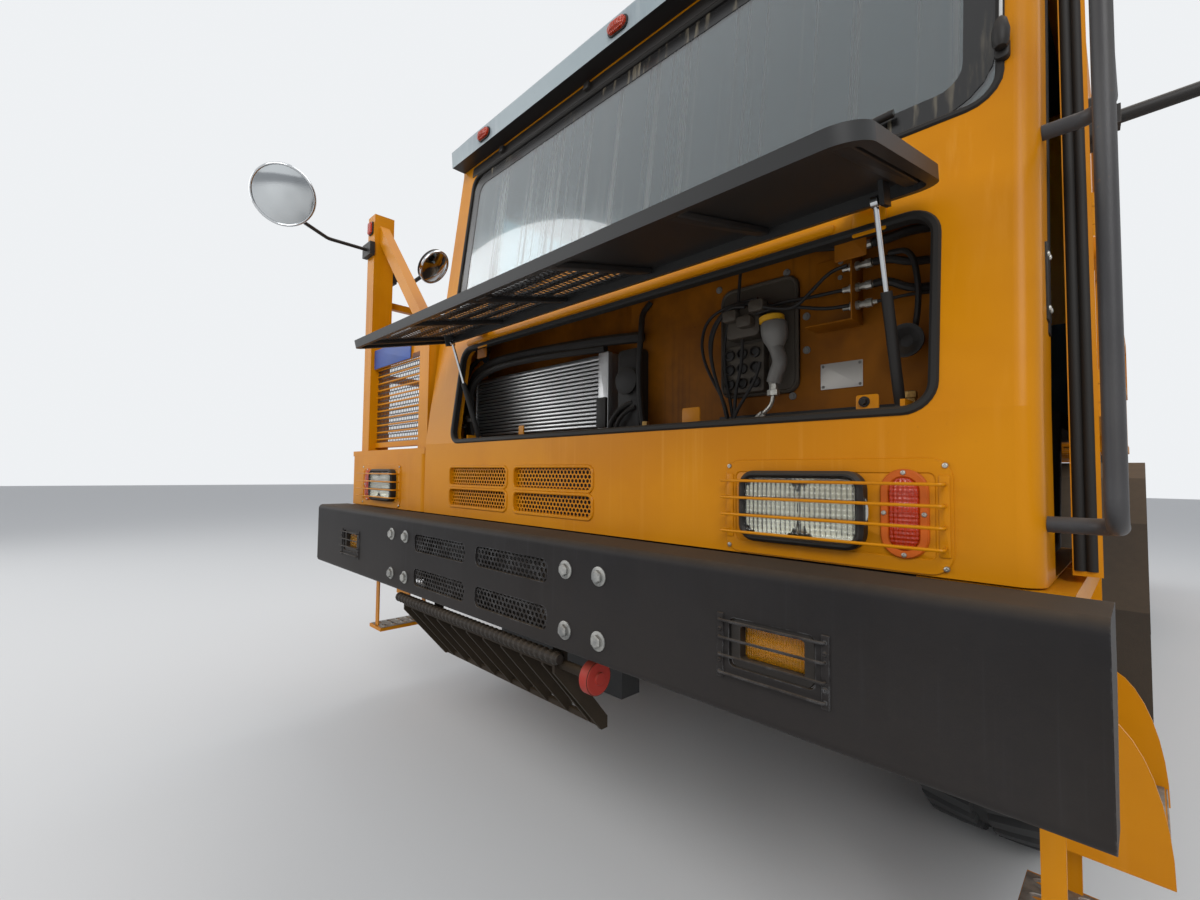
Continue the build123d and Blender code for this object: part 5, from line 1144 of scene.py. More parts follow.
@dataclass
class ServiceBay:
    """What shows behind the open hatch: seal, rail, heat exchanger, hoses, valves and leads."""

    opening: Span = Span(-0.481, 1.490, 1.602, 2.051)
    wall: float = 0.430
    core: Span = Span(-0.602, 0.290, 1.645, 1.925)
    fins: int = 17
    fin_y: float = 0.398
    # places across and up, of the jar across, back and up
    fan: Pair = (0.452, 1.775)
    plate: Pair = (0.958, 1.886)
    jar: Triple = (1.036, 0.378, 1.832)
    bracket: Pair = (1.262, 1.975)
    blank: Pair = (1.206, 1.745)
    horn: Pair = (1.385, 1.80)
    # heights of the cables through the bracket
    cables: tuple[float, ...] = (1.916, 1.964, 2.021, 2.072)

    def dress(self) -> None:
        """Paints the bay's solids and builds its fittings."""
        # the bay's panel takes the body's paint darkened as painted shade of the recess
        paint(SHADED_BAY_PAINT, "service_panel")
        self.seal()
        self.exchanger()
        self.hoses()
        self.valve_plate()
        self.reservoir()
        self.leads()
        self.cable_bracket()
        self.small_fittings()

    def seal(self) -> None:
        """Builds the rubber bead round the opening and the rail along its top."""
        width, height = self.opening.size
        section = [
            (-0.012, -0.02), (-0.012, 0.002), (-0.006, 0.007), (0.004, 0.007), (0.008, 0.002), (0.008, -0.02),
        ]
        rings = [at_height(rounded(width + 2 * o, height + 2 * o, 0.06 + o, 8), w) for o, w in section]
        make("hatch_seal", SEAL, loft(np.stack(rings), closed=True).on_front(*self.opening.middle))
        top, start, end = self.opening.z1 + 0.022, self.opening.x0 + 0.03, self.opening.x1 - 0.22
        rail = slab(end - start, 0.024, 0.007, 0.010, 0.006).on_front((start + end) / 2, top)
        straps = [slab(0.075, 0.09, 0.004, 0.004).on_front(x, top + 0.004) for x in (-0.31, 1.35)]
        make("hatch_rail", PAINT, rail, *straps)

    def exchanger(self) -> None:
        """Builds the exchanger: level fins between its end tanks, each tank's pad and the fan's box."""
        (x0, x1, z0, _), y = self.core, self.fin_y
        (middle, rise), (width, height) = self.core.middle, self.core.size
        pitch = height / self.fins
        fin = slab(width, pitch * 0.6, 0.014, 0.002, 0.002).facing(0, y, 0)
        fins = fin.repeated([(middle, 0, z0 + (i + 0.5) * pitch) for i in range(self.fins)])
        core = slab(width, height, 0.004, 0.002).facing(middle, y + 0.004, rise)
        tank = slab(0.056, height + 0.03, 0.022, 0.006, 0.004)
        pad = slab(0.050, height * 0.42, 0.012, 0.003, 0.002)
        sides = (x0 - 0.026, x1 + 0.028)
        ends = [tank.facing(x, y + 0.004, rise) for x in sides]
        pads = [pad.facing(x, y - 0.018, z0 + height * 0.2) for x in sides]
        body = slab(width + 0.10, height + 0.03, 0.088, 0.01, 0.004).facing(middle, 0.497, rise)
        shroud = slab(0.11, 0.31, 0.05, 0.02, 0.006).facing(self.fan[0], 0.4285, self.fan[1])
        cowl = turned_form([(0.0, 0.0), (0.05, 0.0), (0.052, 0.016), (0.044, 0.02), (0, 0.02)], 28)
        cowl = cowl.facing(self.fan[0], 0.380, self.fan[1] + 0.035)
        fin_piece = make("exchanger_fins", ALUMINIUM, fins, *ends)
        make("exchanger_core", BLACK, core, *pads)
        make("exchanger_body", ALUMINIUM, body)
        make("fan_shroud", BLACK, shroud, cowl)
        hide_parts("bay_fittings")

    def hoses(self) -> None:
        """Builds the lagged pipes over the exchanger, the hoses beside it, and their clips and unions."""
        # each hose: its coarse line and its radius
        lines = [
            ([(-0.60, 0.36, 1.62), (-0.60, 0.34, 1.78), (-0.57, 0.33, 1.93), (-0.42, 0.35, 2.00),
              (-0.1, 0.36, 2.00), (0.3, 0.38, 1.985), (0.50, 0.40, 1.97)], 0.021),
            ([(-0.53, 0.33, 1.61), (-0.54, 0.31, 1.76), (-0.52, 0.30, 1.90), (-0.36, 0.33, 1.965),
              (0.0, 0.35, 1.965), (0.32, 0.39, 1.955)], 0.015),
            ([(-0.655, 0.37, 1.61), (-0.655, 0.34, 1.80), (-0.64, 0.34, 1.98), (-0.50, 0.38, 2.07)], 0.012),
            ([(0.53, 0.385, 1.605), (0.515, 0.375, 1.70), (0.51, 0.37, 1.85), (0.515, 0.38, 2.0),
              (0.49, 0.41, 2.06), (0.52, 0.425, 2.10)], 0.011),
            ([(0.36, 0.375, 1.61), (0.375, 0.365, 1.66), (0.42, 0.37, 1.71), (0.47, 0.385, 1.73)], 0.010),
            ([(0.40, 0.37, 1.61), (0.41, 0.36, 1.65), (0.45, 0.36, 1.69), (0.49, 0.375, 1.71)], 0.008),
        ]
        make("bay_hoses", HOSE, *[tube(eased(line), radius) for line, radius in lines])
        clip = turned_form([(0.022, -0.008), (0.025, -0.004), (0.025, 0.004), (0.022, 0.008)], 16)
        spots = [(-0.60, 0.345, 1.74), (-0.535, 0.315, 1.72), (-0.655, 0.352, 1.70), (-0.545, 0.307, 1.83)]
        make("hose_clips", FITTING, clip.repeated(spots))
        union = turned_form([(0.012, 0), (0.018, 0.002), (0.018, 0.022), (0.013, 0.024), (0.013, 0.034),
                             (0.016, 0.036), (0.016, 0.05), (0.012, 0.052)], 6)
        spots = [(-0.655, 0.372, 1.607), (-0.53, 0.331, 1.607), (0.53, 0.386, 1.603), (1.412, 0.300, 1.612)]
        make("hose_unions", BRASS, union.repeated(spots))

    def valve_plate(self) -> None:
        """Builds the grey plate with its rim, block, case and sockets."""
        x, z, y = *self.plate, self.wall
        plate = slab(0.262, 0.352, 0.010, 0.035, 0.004, 0.0, 6).facing(x, y - 0.001, z)
        rim = frame_of(0.238, 0.328, 0.012, 0.015, 0.028, 0.004, 6).facing(x, y - 0.001, z)
        block = slab(0.142, 0.150, 0.032, 0.008, 0.004).facing(x - 0.034, y - 0.010, z - 0.092)
        case = slab(0.12, 0.10, 0.045, 0.02, 0.012).facing(x - 0.03, y - 0.010, z + 0.05)
        lugs = [slab(0.05, 0.036, 0.028, 0.01, 0.006).facing(x + a, y - 0.054, z + b)
                for a, b in ((-0.06, 0.07), (-0.01, 0.045), (0.03, 0.085))]
        make("valve_plate", PLATE, plate, rim, block, case, *lugs)
        port = turned_form([(0.017, 0), (0.017, 0.010), (0.013, 0.012), (0.010, 0.004), (0, 0.004)], 16)
        port = port.facing(0, y - 0.041, 0)
        spots = [(x - 0.034 + i * 0.044, 0, z - 0.092 + k * 0.046) for i in (-1, 0, 1) for k in (-1, 0, 1)]
        make("valve_ports", BLACK, port.repeated(spots))

    def reservoir(self) -> None:
        """Builds the leaning jar with its cap and elbow, and the nut, pipe and hose that leave it."""
        jar = turned_form([(0, 0), (0.020, 0.0), (0.024, 0.012), (0.034, 0.030), (0.038, 0.050), (0.038, 0.078),
                           (0.034, 0.084), (0, 0.084)], 28)
        x, y, z = self.jar
        jar = jar.upward(x, y, z).turned(Y_AXIS, -5, (x, 0, z + 0.038))
        elbow = tube(eased([(1.036, 0.378, 1.85), (1.05, 0.374, 1.815), (1.056, 0.37, 1.79), (1.042, 0.37, 1.76),
                            (1.036, 0.37, 1.735)]), 0.021, 16)
        make("reservoir", FITTING, jar, elbow, slot="engine_grey")
        cap = turned_form([(0.033, 0), (0.036, 0.002), (0.036, 0.016), (0.033, 0.019), (0, 0.020)], 28)
        cap = cap.upward(x - 0.005, y, z + 0.085).turned(Y_AXIS, -5, (x, 0, z + 0.038))
        make("reservoir_cap", YELLOW_CAP, cap)
        pipe = tube(eased([(1.035, 0.37, 1.73), (1.034, 0.37, 1.695), (1.028, 0.372, 1.672), (1.008, 0.374, 1.655),
                           (0.996, 0.376, 1.646)]), 0.006)
        profile = [(0.018, 0), (0.018, 0.016), (0.012, 0.018), (0.012, 0.034), (0.014, 0.034), (0.014, 0.05)]
        nut = turned_form(profile, 6).upward(1.035, 0.37, 1.698)
        tail = tube([(1.0, 0.375, 1.650), (0.972, 0.379, 1.630)], 0.010)
        make("reservoir_pipe", BRIGHT, pipe, nut, tail)
        drain = tube(eased([(0.976, 0.378, 1.632), (0.955, 0.382, 1.618), (0.94, 0.385, 1.604)]), 0.009)
        make("reservoir_hose", HOSE, drain)

    def leads(self) -> None:
        """Builds the black leads: loops down the plate's left, and runs across to the bracket."""
        y = self.wall - 0.05
        # places across and up of each lead's line, at one depth
        loops = [
            [(0.98, 2.0), (0.88, 2.0), (0.80, 1.972), (0.775, 1.905), (0.785, 1.84), (0.814, 1.778),
             (0.869, 1.686), (0.882, 1.605)],
            [(0.96, 1.985), (0.895, 1.995), (0.836, 1.953), (0.812, 1.888), (0.83, 1.791), (0.868, 1.69),
             (0.888, 1.605)],
            [(0.95, 1.975), (0.90, 1.985), (0.85, 1.945), (0.825, 1.87), (0.842, 1.775), (0.877, 1.69),
             (0.894, 1.605)],
            [(0.94, 1.96), (0.88, 1.95), (0.862, 1.88), (0.865, 1.78), (0.884, 1.70), (0.90, 1.605)],
            [(0.935, 1.88), (0.932, 1.80), (0.91, 1.72), (0.905, 1.605)],
            [(1.0, 1.80), (0.985, 1.75), (0.95, 1.70), (0.915, 1.65), (0.908, 1.605)],
            [(0.922, 2.12), (0.918, 2.06), (0.912, 2.0), (0.925, 1.95)],
            [(1.083, 2.118), (1.156, 2.092), (1.219, 2.079), (1.252, 2.072)],
            [(0.99, 1.97), (1.06, 1.945), (1.109, 1.938), (1.155, 1.973), (1.205, 2.015), (1.252, 2.021)],
            [(0.97, 1.965), (1.067, 1.972), (1.155, 1.965), (1.21, 1.966), (1.252, 1.964)],
            [(0.98, 1.95), (1.05, 1.955), (1.115, 1.942), (1.186, 1.920), (1.252, 1.916)],
        ]
        lines = [eased([(x, y - 0.012 * (i % 3), z) for x, z in loop]) for i, loop in enumerate(loops)]
        make("bay_leads", HOSE, *[tube(line, 0.0052, 8) for line in lines])

    def cable_bracket(self) -> None:
        """Builds the folded bracket on the right with the row of cable ends through it."""
        y, (x, z) = self.wall, self.bracket
        foot = slab(0.12, 0.20, 0.004, 0.004).facing(x - 0.062, y - 0.001, z)
        flange = slab(0.080, 0.205, 0.004, 0.003).outboard(x, y - 0.041, z)
        shelf = slab(0.125, 0.080, 0.004, 0.003).upward(x - 0.060, y - 0.041, z - 0.102)
        make("cable_bracket", SHADED_BAY_PAINT, foot, flange, shelf)
        end = turned_form([(0.008, -0.03), (0.008, -0.012), (0.0125, -0.012), (0.0125, 0.012), (0.009, 0.012),
                           (0.009, 0.028), (0.012, 0.028), (0.012, 0.044), (0.006, 0.046), (0.006, 0.056)], 10)
        make("cable_ends", BRIGHT, end.outboard(x, y - 0.05, 0).repeated([(0, 0, z) for z in self.cables]))
        lines = [
            tube(eased([(1.31, y - 0.05, z), (1.345, y - 0.05, z), (1.39, y - 0.04, z + lift),
                        (1.44, y - 0.02, z + lift)]), radius, 8)
            for z, lift, radius in zip(self.cables, (0.004, -0.03, -0.02, 0.01), (0.0045, 0.010, 0.010, 0.012))
        ]
        drops = [
            tube(eased([(1.35, y - 0.06, 2.03), (1.405, y - 0.075, 2.02), (1.418, y - 0.07, 1.93),
                        (1.41, y - 0.055, 1.86), (1.392, y - 0.03, 1.812)]), 0.007, 8),
            tube(eased([(1.372, 0.29, 1.80), (1.376, 0.295, 1.74), (1.384, 0.30, 1.69), (1.396, 0.30, 1.65),
                        (1.412, 0.30, 1.625)]), 0.006, 8),
        ]
        make("cable_tails", HOSE, *lines, *drops)

    def small_fittings(self) -> None:
        """Builds the blank plate, the horn, the wall's bolts, a black strip painted as the shade in the sill's gap,
        and the sill's tabs.
        """
        y, (x, z) = self.wall, self.blank
        make("blank_plate", SILVER_PLATE, slab(0.114, 0.073, 0.0015, 0.002, 0.0005).facing(x, y - 0.0005, z))
        spots = [(0.813, 2.077), (1.049, 2.074), (1.109, 1.929), (1.109, 1.83), (1.066, 1.70), (1.209, 2.061),
                 (1.207, 2.018), (0.72, 1.67)]
        bolts = [hex_bolt(0.013, 0.007).facing(a, y - 0.0005, b) for a, b in spots]
        bolts += [screw_head(0.004).facing(x + a * 0.050, y - 0.002, z + b * 0.029)
                  for a in (-1, 1) for b in (-1, 1)]
        make("bay_bolts", FITTING, *bolts)
        horn = turned_form([(0, 0), (0.012, 0.0), (0.014, 0.02), (0.022, 0.035), (0.038, 0.045), (0.042, 0.05),
                            (0.042, 0.056), (0.036, 0.056), (0.030, 0.052), (0.014, 0.040), (0, 0.044)], 28)
        make("horn", BLACK, horn.facing(self.horn[0], y - 0.012, self.horn[1]))
        # a flat black strip laid on the wall as the painted shade of the sill's gap
        make("sill_gap_shade", BLACK, slab(0.60, 0.050, 0.003, 0.003).facing(1.115, y - 0.0005, 1.629))
        # places across and up, width and height of each tab
        rows = ((-0.06, 1.636, 0.036, 0.058), (0.815, 1.640, 0.066, 0.062), (1.328, 1.632, 0.052, 0.058))
        tabs = [slab(wide, high, 0.004, 0.006).facing(a, 0.272, b) for a, b, wide, high in rows]
        make("sill_tabs", PAINT, *tabs)
        make("tab_bolt", BLACK, hex_bolt(0.015, 0.012).facing(1.322, 0.268, 1.644))
        straps = [slab(0.075, 0.115, 0.004, 0.004).facing(a, 0.250, 2.050) for a in (-0.345, 1.300)]
        make("hinge_straps", SHADED_BAY_PAINT, *straps)


@dataclass
class FrontHatch:
    """The raised hatch's pierced sheets, ribs and catch, and its struts' paint."""

    hinge: Pair = (0.212, 2.098)
    droop: float = 13.2
    # place across and distance from the hinge line of the first slot's middle, and the slots' pitches
    slot: Pair = (-0.26, 0.125)
    pitch: Pair = (0.40, 0.092)
    rib_x: tuple[float, ...] = (-0.46, -0.06, 0.34, 0.735, 1.12, 1.46)

    def spot(self, form: Form, x: float, away: float, deep: float = 0.0) -> Form:
        """Puts a form on the hatch's lower face.

        Args:
            form: what is placed; its third axis points down from the hatch.
            x: the place across.
            away: the distance from the hinge line.
            deep: how far below the hatch's skin it lies.

        Returns:
            The form in its place.
        """
        turn = np.radians(self.droop)
        along = np.array([0.0, -np.cos(turn), -np.sin(turn)])
        down = np.array([0.0, np.sin(turn), -np.cos(turn)])
        origin = np.array([x, *self.hinge]) + along * away + down * (deep - 0.009)
        return form.placed(origin, X_AXIS, along, down)

    def dress(self) -> None:
        """Paints the hatch and its struts and builds the sheets under its slots, its ribs and its catch."""
        paint(HATCH, "hatch_panel")
        paint(BLACK, "strut_barrels")
        paint(CHROME, "strut_rods")
        (across, away), (wide, deep) = self.slot, self.pitch
        sheet = honeycomb(wide, deep, 0.021, 0.006, 0.0015, 0.9)
        spots = [(across + column * wide, away + row * deep) for column in range(3) for row in range(4)]
        make("hatch_mesh", HATCH, *[self.spot(sheet, *spot, 0.001) for spot in spots], body="hatch")
        rib = slab(0.03, 0.42, 0.014, 0.004, 0.004)
        ribs = [self.spot(rib, x, 0.262, 0.002) for x in self.rib_x]
        catch = self.spot(slab(0.05, 0.03, 0.02, 0.006, 0.003), 0.42, 0.45, 0.004)
        make("hatch_ribs", HATCH, *ribs, catch, body="hatch")


@dataclass
class Cab:
    """The cab's painted shell, its glass and what sits on it."""

    screen: Span = Span(-0.610, 1.596, 2.255, 2.985)
    # middle of the cab's inside, and of its rear wall, roof and side wall
    middle: float = 0.465
    rear: Pair = (1.912, 2.59)
    roof: Pair = (1.16, 3.037)
    side: Triple = (-0.683, 1.03, 2.55)
    # places of the visor's markers, of the work lamp and of the aerial
    marker_x: tuple[float, ...] = (-0.41, 0.48, 1.37)
    marker: Pair = (0.277, 3.095)
    lamp: Pair = (-0.2325, 3.3085)
    mast: Pair = (1.603, 2.345)

    def dress(self) -> None:
        """Paints the shell and builds the windscreen's border, the lining, markers, work lamp and aerial."""
        paint(PAINT, "cab_front", "cab_left_side", "cab_right_side", "cab_rear", "cab_roof")
        paint(VISOR, "sun_visor")
        paint(TRIM, "cab_floor", "dashboard")
        paint(SCREEN, "cab_glass")
        paint(BLACK, "wipers")
        paint(RAIL, "handrail")
        self.border()
        self.lining()
        self.markers()
        self.work_lamp()
        self.aerial()

    def border(self) -> None:
        """Builds the black band round the windscreen's edge, the seal that holds it, and the black header strip
        above, which stands in for the shade under the visor's lip.
        """
        (middle, centre), (width, rise) = self.screen.middle, self.screen.size
        height = rise * np.hypot(1, LEAN)
        band = frame_of(width - 0.13, height - 0.13, 0.06, 0.0015, 0.05, 0.0005).on_front(middle, centre, -0.0055)
        make("screen_border", BORDER, band)
        seal = frame_of(width - 0.012, height - 0.012, 0.016, 0.010, 0.05, 0.004).on_front(middle, centre, -0.005)
        make("screen_seal", SEAL, seal)
        # the black header strip is painted shade under the visor's lip
        header = slab(width + 0.04, 0.052, 0.004, 0.006, 0.002).on_front(middle, 3.020, 0.0005)
        hooks = [slab(0.03, 0.03, 0.018, 0.004, 0.002).on_front(x, 3.022, 0.004) for x in (-0.35, 0.25, 0.85, 1.4)]
        make("screen_header_shade", BLACK, header, *hooks)

    def lining(self) -> None:
        """Builds the dark lining inside: rear wall round its window, roof and right side round its window."""
        rear = frame_of(1.23, 0.58, 0.37, 0.006, 0.07, 0.002).facing(self.middle, *self.rear)
        low = slab(2.26, 0.45, 0.006, 0.02, 0.002).facing(self.middle, self.rear[0] - 0.001, 1.90)
        roof = slab(2.26, 1.46, 0.006, 0.03, 0.002).placed((self.middle, *self.roof), X_AXIS, -Y_AXIS, -Z_AXIS)
        side = frame_of(0.94, 0.70, 0.20, 0.006, 0.07, 0.002).outboard(*self.side)
        make("cab_lining", LINING, rear, low, roof, side)

    def markers(self) -> None:
        """Builds the three marker domes on the visor, each on a dark base."""
        bases, domes, (y, z) = [], [], self.marker
        for x in self.marker_x:
            bases.append(slab(0.10, 0.052, 0.006, 0.024, 0.002, 0.0, 8).facing(x, y, z))
            domes.append(slab(0.088, 0.042, 0.012, 0.02, 0.004, 0.012, 8).facing(x, y - 0.005, z))
        make("marker_bases", BLACK, *bases)
        make("marker_domes", RED_LENS, *domes)

    def work_lamp(self) -> None:
        """Builds the square work lamp over the visor: finned case, bowl and pale lens on a bracket."""
        x, z = self.lamp
        case = frame_of(0.086, 0.088, 0.0095, 0.062, 0.012, 0.003).facing(x, 0.515, z)
        back = slab(0.100, 0.100, 0.006, 0.012).facing(x, 0.514, z)
        fins = slab(0.096, 0.006, 0.014, 0.002).facing(x, 0.528, z)
        fins = fins.repeated([(0, 0, (i - 3) * 0.014) for i in range(7)])
        foot = slab(0.036, 0.062, 0.025, 0.004).facing(x, 0.495, 3.232)
        make("work_lamp_case", BLACK, case, back, fins, foot)
        make("work_lamp_bowl", REFLECTOR, slab(0.086, 0.088, 0.004, 0.01).facing(x, 0.508, z))
        make("work_lamp_lens", LENS, slab(0.088, 0.090, 0.006, 0.01, 0.002).facing(x, 0.462, z))

    def aerial(self) -> None:
        """Builds the white whip aerial and its black foot beside the windscreen."""
        x, z = self.mast
        foot = turned_form([(0, 0), (0.010, 0.002), (0.015, 0.012), (0.016, 0.04), (0.011, 0.064), (0.005, 0.072),
                            (0, 0.073)], 20)
        base = slab(0.026, 0.05, 0.016, 0.01, 0.004).on_front(x, z + 0.008, -0.001)
        foot = foot.placed((x, front_y(z) - 0.024, z), X_AXIS, np.cross(LEAN_UP, X_AXIS), LEAN_UP)
        make("aerial_foot", BLACK, base, foot)
        start = np.array([x, front_y(z) - 0.024, z]) + LEAN_UP * 0.068
        whip = tube([start, start + LEAN_UP * 0.25, start + LEAN_UP * 0.5], np.array([0.0032, 0.0026, 0.002]), 8)
        make("aerial_whip", AERIAL, whip)


@dataclass
class DriverDoor:
    """The door ajar, its rubber seal, its glass and mirrors, and the jamb that it shuts on."""

    # the hinge line, the angle at rest, the front edge and the heights where it bends; the jamb and its catch
    hinge: Pair = (1.680, 1.341)
    ajar: float = 4.0
    front: float = 0.338
    rise: Triple = (1.285, KNEE, 2.972)
    jamb: float = 1.6598
    catch: float = 1.86

    def strip(self, x: float, back: float, width: float, proud: float, beads: int) -> Form:
        """A ribbed strip up a slanting edge, each bead half a sine wave across it.

        Args:
            x: the strip's edge nearest the cab's middle.
            back: how far behind the cab's front its foot lies.
            width: of the strip.
            proud: how far each bead stands forward.
            beads: how many there are.

        Returns:
            The strip on the shut door's or the doorway's edge.
        """
        share = np.linspace(0, 1, beads * 6 + 1)
        bump = proud * np.sqrt(np.abs(np.sin(np.pi * beads * share)))
        across = np.concatenate([x + share * width, [x + width, x]])
        out = np.concatenate([bump, [-0.001, -0.001]])
        rings = [np.column_stack([across, front_y(z) + back - out, np.full(len(out), z)]) for z in self.rise]
        return loft(np.stack(rings))

    def dress(self) -> None:
        """Paints the door and builds its seal, the jamb's seal and the catch plate."""
        paint(PAINT, "door_shell")
        paint(WINDOW, "door_glass")
        paint(BLACK, "left_mirrors")
        seal = self.strip(1.617, self.front - FRONT, 0.036, 0.0055, 2)
        seal = seal.turned(Z_AXIS, self.ajar, (*self.hinge, 0))
        make("door_seal", SEAL, seal, body="door")
        middle = (self.jamb, front_y(2.35) + 0.128, 2.35)
        strip = slab(1.2, 0.024, 0.003, 0.004, 0.001).placed(middle, LEAN_UP, np.cross(X_AXIS, LEAN_UP), X_AXIS)
        make("jamb_seal", SEAL, strip)
        y, z = front_y(self.catch) + 0.105, self.catch
        make("catch_plate", BLACK, slab(0.045, 0.16, 0.004, 0.004).outboard(self.jamb, y, z))
        spots = [(y + a * 0.012, z + b * 0.055) for a in (-1, 1) for b in (-1, 1)]
        make("catch_screws", BRIGHT, *[screw_head(0.006).outboard(self.jamb + 0.0037, *spot) for spot in spots])


@dataclass
class RoundMirrors:
    """The two round mirrors on the platform's post."""

    # middle, direction and radius of each
    heads: tuple[tuple[Triple, Triple, float], ...] = (
        ((-1.190, -0.385, 2.835), (0.75, -0.35, -0.4), 0.145),
        ((-1.250, 0.4623, 2.722), (0.6, 0.3, -0.5), 0.105),
    )

    def dress(self) -> None:
        """Builds a domed glass and a rolled rim on each head."""
        paint(BLACK, "right_mirrors")
        glasses, rims = [], []
        for centre, normal, radius in self.heads:
            out = np.asarray(normal) / np.linalg.norm(normal)
            right = np.cross(Z_AXIS, out)
            right /= np.linalg.norm(right)
            up = np.cross(out, right)
            share = np.linspace(1, 0, 9)
            dome = [(radius * 0.94 * s, 0.0005 + 0.02 * (1 - s**2)) for s in share]
            glasses.append(turned_form([(radius * 0.94, -0.002), *dome], 40).placed(centre, right, up, out))
            ring = np.linspace(0, 2 * np.pi, 10, endpoint=False)
            roll = [(radius * 0.97 + 0.007 * np.cos(a), -0.004 + 0.011 * np.sin(a)) for a in ring]
            rims.append(turned_form(roll, 40, closed=True).placed(centre, right, up, out))
        make("round_mirror_glass", MIRROR, *glasses, crease=60)
        make("round_mirror_rims", CHROME, *rims, crease=60)


@dataclass
class Platform:
    """The platform beside the cab with its posts, screen, blank plate and air cleaner."""

    screen: Triple = (-1.175, 0.240, 1.865)
    plate: Triple = (-1.2475, 0.2115, 2.14)
    # the drum's middle across and up, its radius and the places of its bands
    drum: Pair = (-1.18, 2.25)
    radius: float = 0.195
    band_y: tuple[float, ...] = (0.885, 1.355, 1.12)
    marker: Pair = (-1.55, 2.97)

    def dress(self) -> None:
        """Paints the platform and builds its screen, plate, drum bands and post marker."""
        paint(PAINT, "platform_box", "platform_frame")
        paint(DRUM, "air_cleaner")
        make("platform_screen", BLACK, honeycomb(0.645, 0.44, 0.021, 0.0045, 0.002, 0.8).facing(*self.screen))
        make("platform_plate", BLUE_PLATE, slab(0.49, 0.115, 0.003, 0.006, 0.001).facing(*self.plate))
        inner, outer = self.radius, self.radius + 0.0035
        band = turned_form([(inner, -0.02), (outer, -0.018), (outer, 0.018), (inner, 0.02)], 48)
        x, z = self.drum
        make("drum_bands", GALVANISED, *[band.placed((x, y, z), X_AXIS, -Z_AXIS, Y_AXIS) for y in self.band_y])
        x, z = self.marker
        make("post_marker_base", BLACK, slab(0.060, 0.080, 0.008, 0.012, 0.002).facing(x, 0.1895, z))
        make("post_marker", RED_LENS, slab(0.052, 0.072, 0.009, 0.012, 0.003, 0.004).facing(x, 0.1812, z))


@dataclass
class BoardingSteps:
    """The yellow step boxes with treads of galvanised sheet, pierced by pairs of raised oval holes."""

    # each tread's inner and outer reach, front, rear and top
    treads: tuple[tuple[float, float, float, float, float], ...] = (
        (1.625, 1.811, 0.53, 0.93, 0.685), (1.625, 1.708, 0.53, 0.93, 0.975), (1.56, 1.73, 0.32, 0.658, 0.49),
    )
    pitch: float = 0.062

    def tread(self, width: float, depth: float) -> Form:
        """A sheet of square cells, each with an oval hole whose lip swells up and in.

        Args:
            width, depth: of the sheet.

        Returns:
            The sheet, its middle at the origin and its top at the lips.
        """
        cols, rows = max(2, round(width / 0.075)), round(depth / self.pitch)
        cell = np.array([width / cols, depth / rows])
        turn = np.arange(24) * 2 * np.pi / 24
        way = np.column_stack([np.cos(turn), np.sin(turn)])
        square = way / np.abs(way).max(1)[:, None] * cell / 2
        oval = way * [min(0.026, cell[0] * 0.36), 0.0135]
        # scale of the oval and height of each ring from the flat sheet up over the lip and down inside
        lip = [(1.45, 0.0), (1.15, 0.0035), (1.0, 0.0045), (0.9, 0.003), (0.86, -0.003)]
        rings = [at_height(square, -0.002), at_height(square, 0.0)]
        rings += [at_height(oval * scale, height) for scale, height in lip]
        hole = loft(np.stack(rings), caps=False)
        col, row = np.meshgrid(np.arange(cols) - (cols - 1) / 2, np.arange(rows) - (rows - 1) / 2)
        spots = np.stack([col.ravel() * cell[0], row.ravel() * cell[1], np.zeros(col.size)], 1)
        return hole.repeated(spots)

    def dress(self) -> None:
        """Paints the boxes and builds the treads with their turned-down front lips."""
        paint(PAINT, "steps")
        paint(RUBBER, "front_fenders")
        treads = []
        for x0, x1, y0, y1, top in self.treads:
            sheet = self.tread(x1 - x0 - 0.008, y1 - y0 - 0.02)
            lip = slab(y1 - y0 - 0.02, 0.022, 0.003, 0.003).outboard(x1 - 0.003, (y0 + y1) / 2, top - 0.010)
            tread = Form.joined([sheet.upward((x0 + x1) / 2 - 0.002, (y0 + y1) / 2, top + 0.003), lip])
            treads += [tread, tread.mirrored()]
        make("step_treads", GALVANISED, *treads)


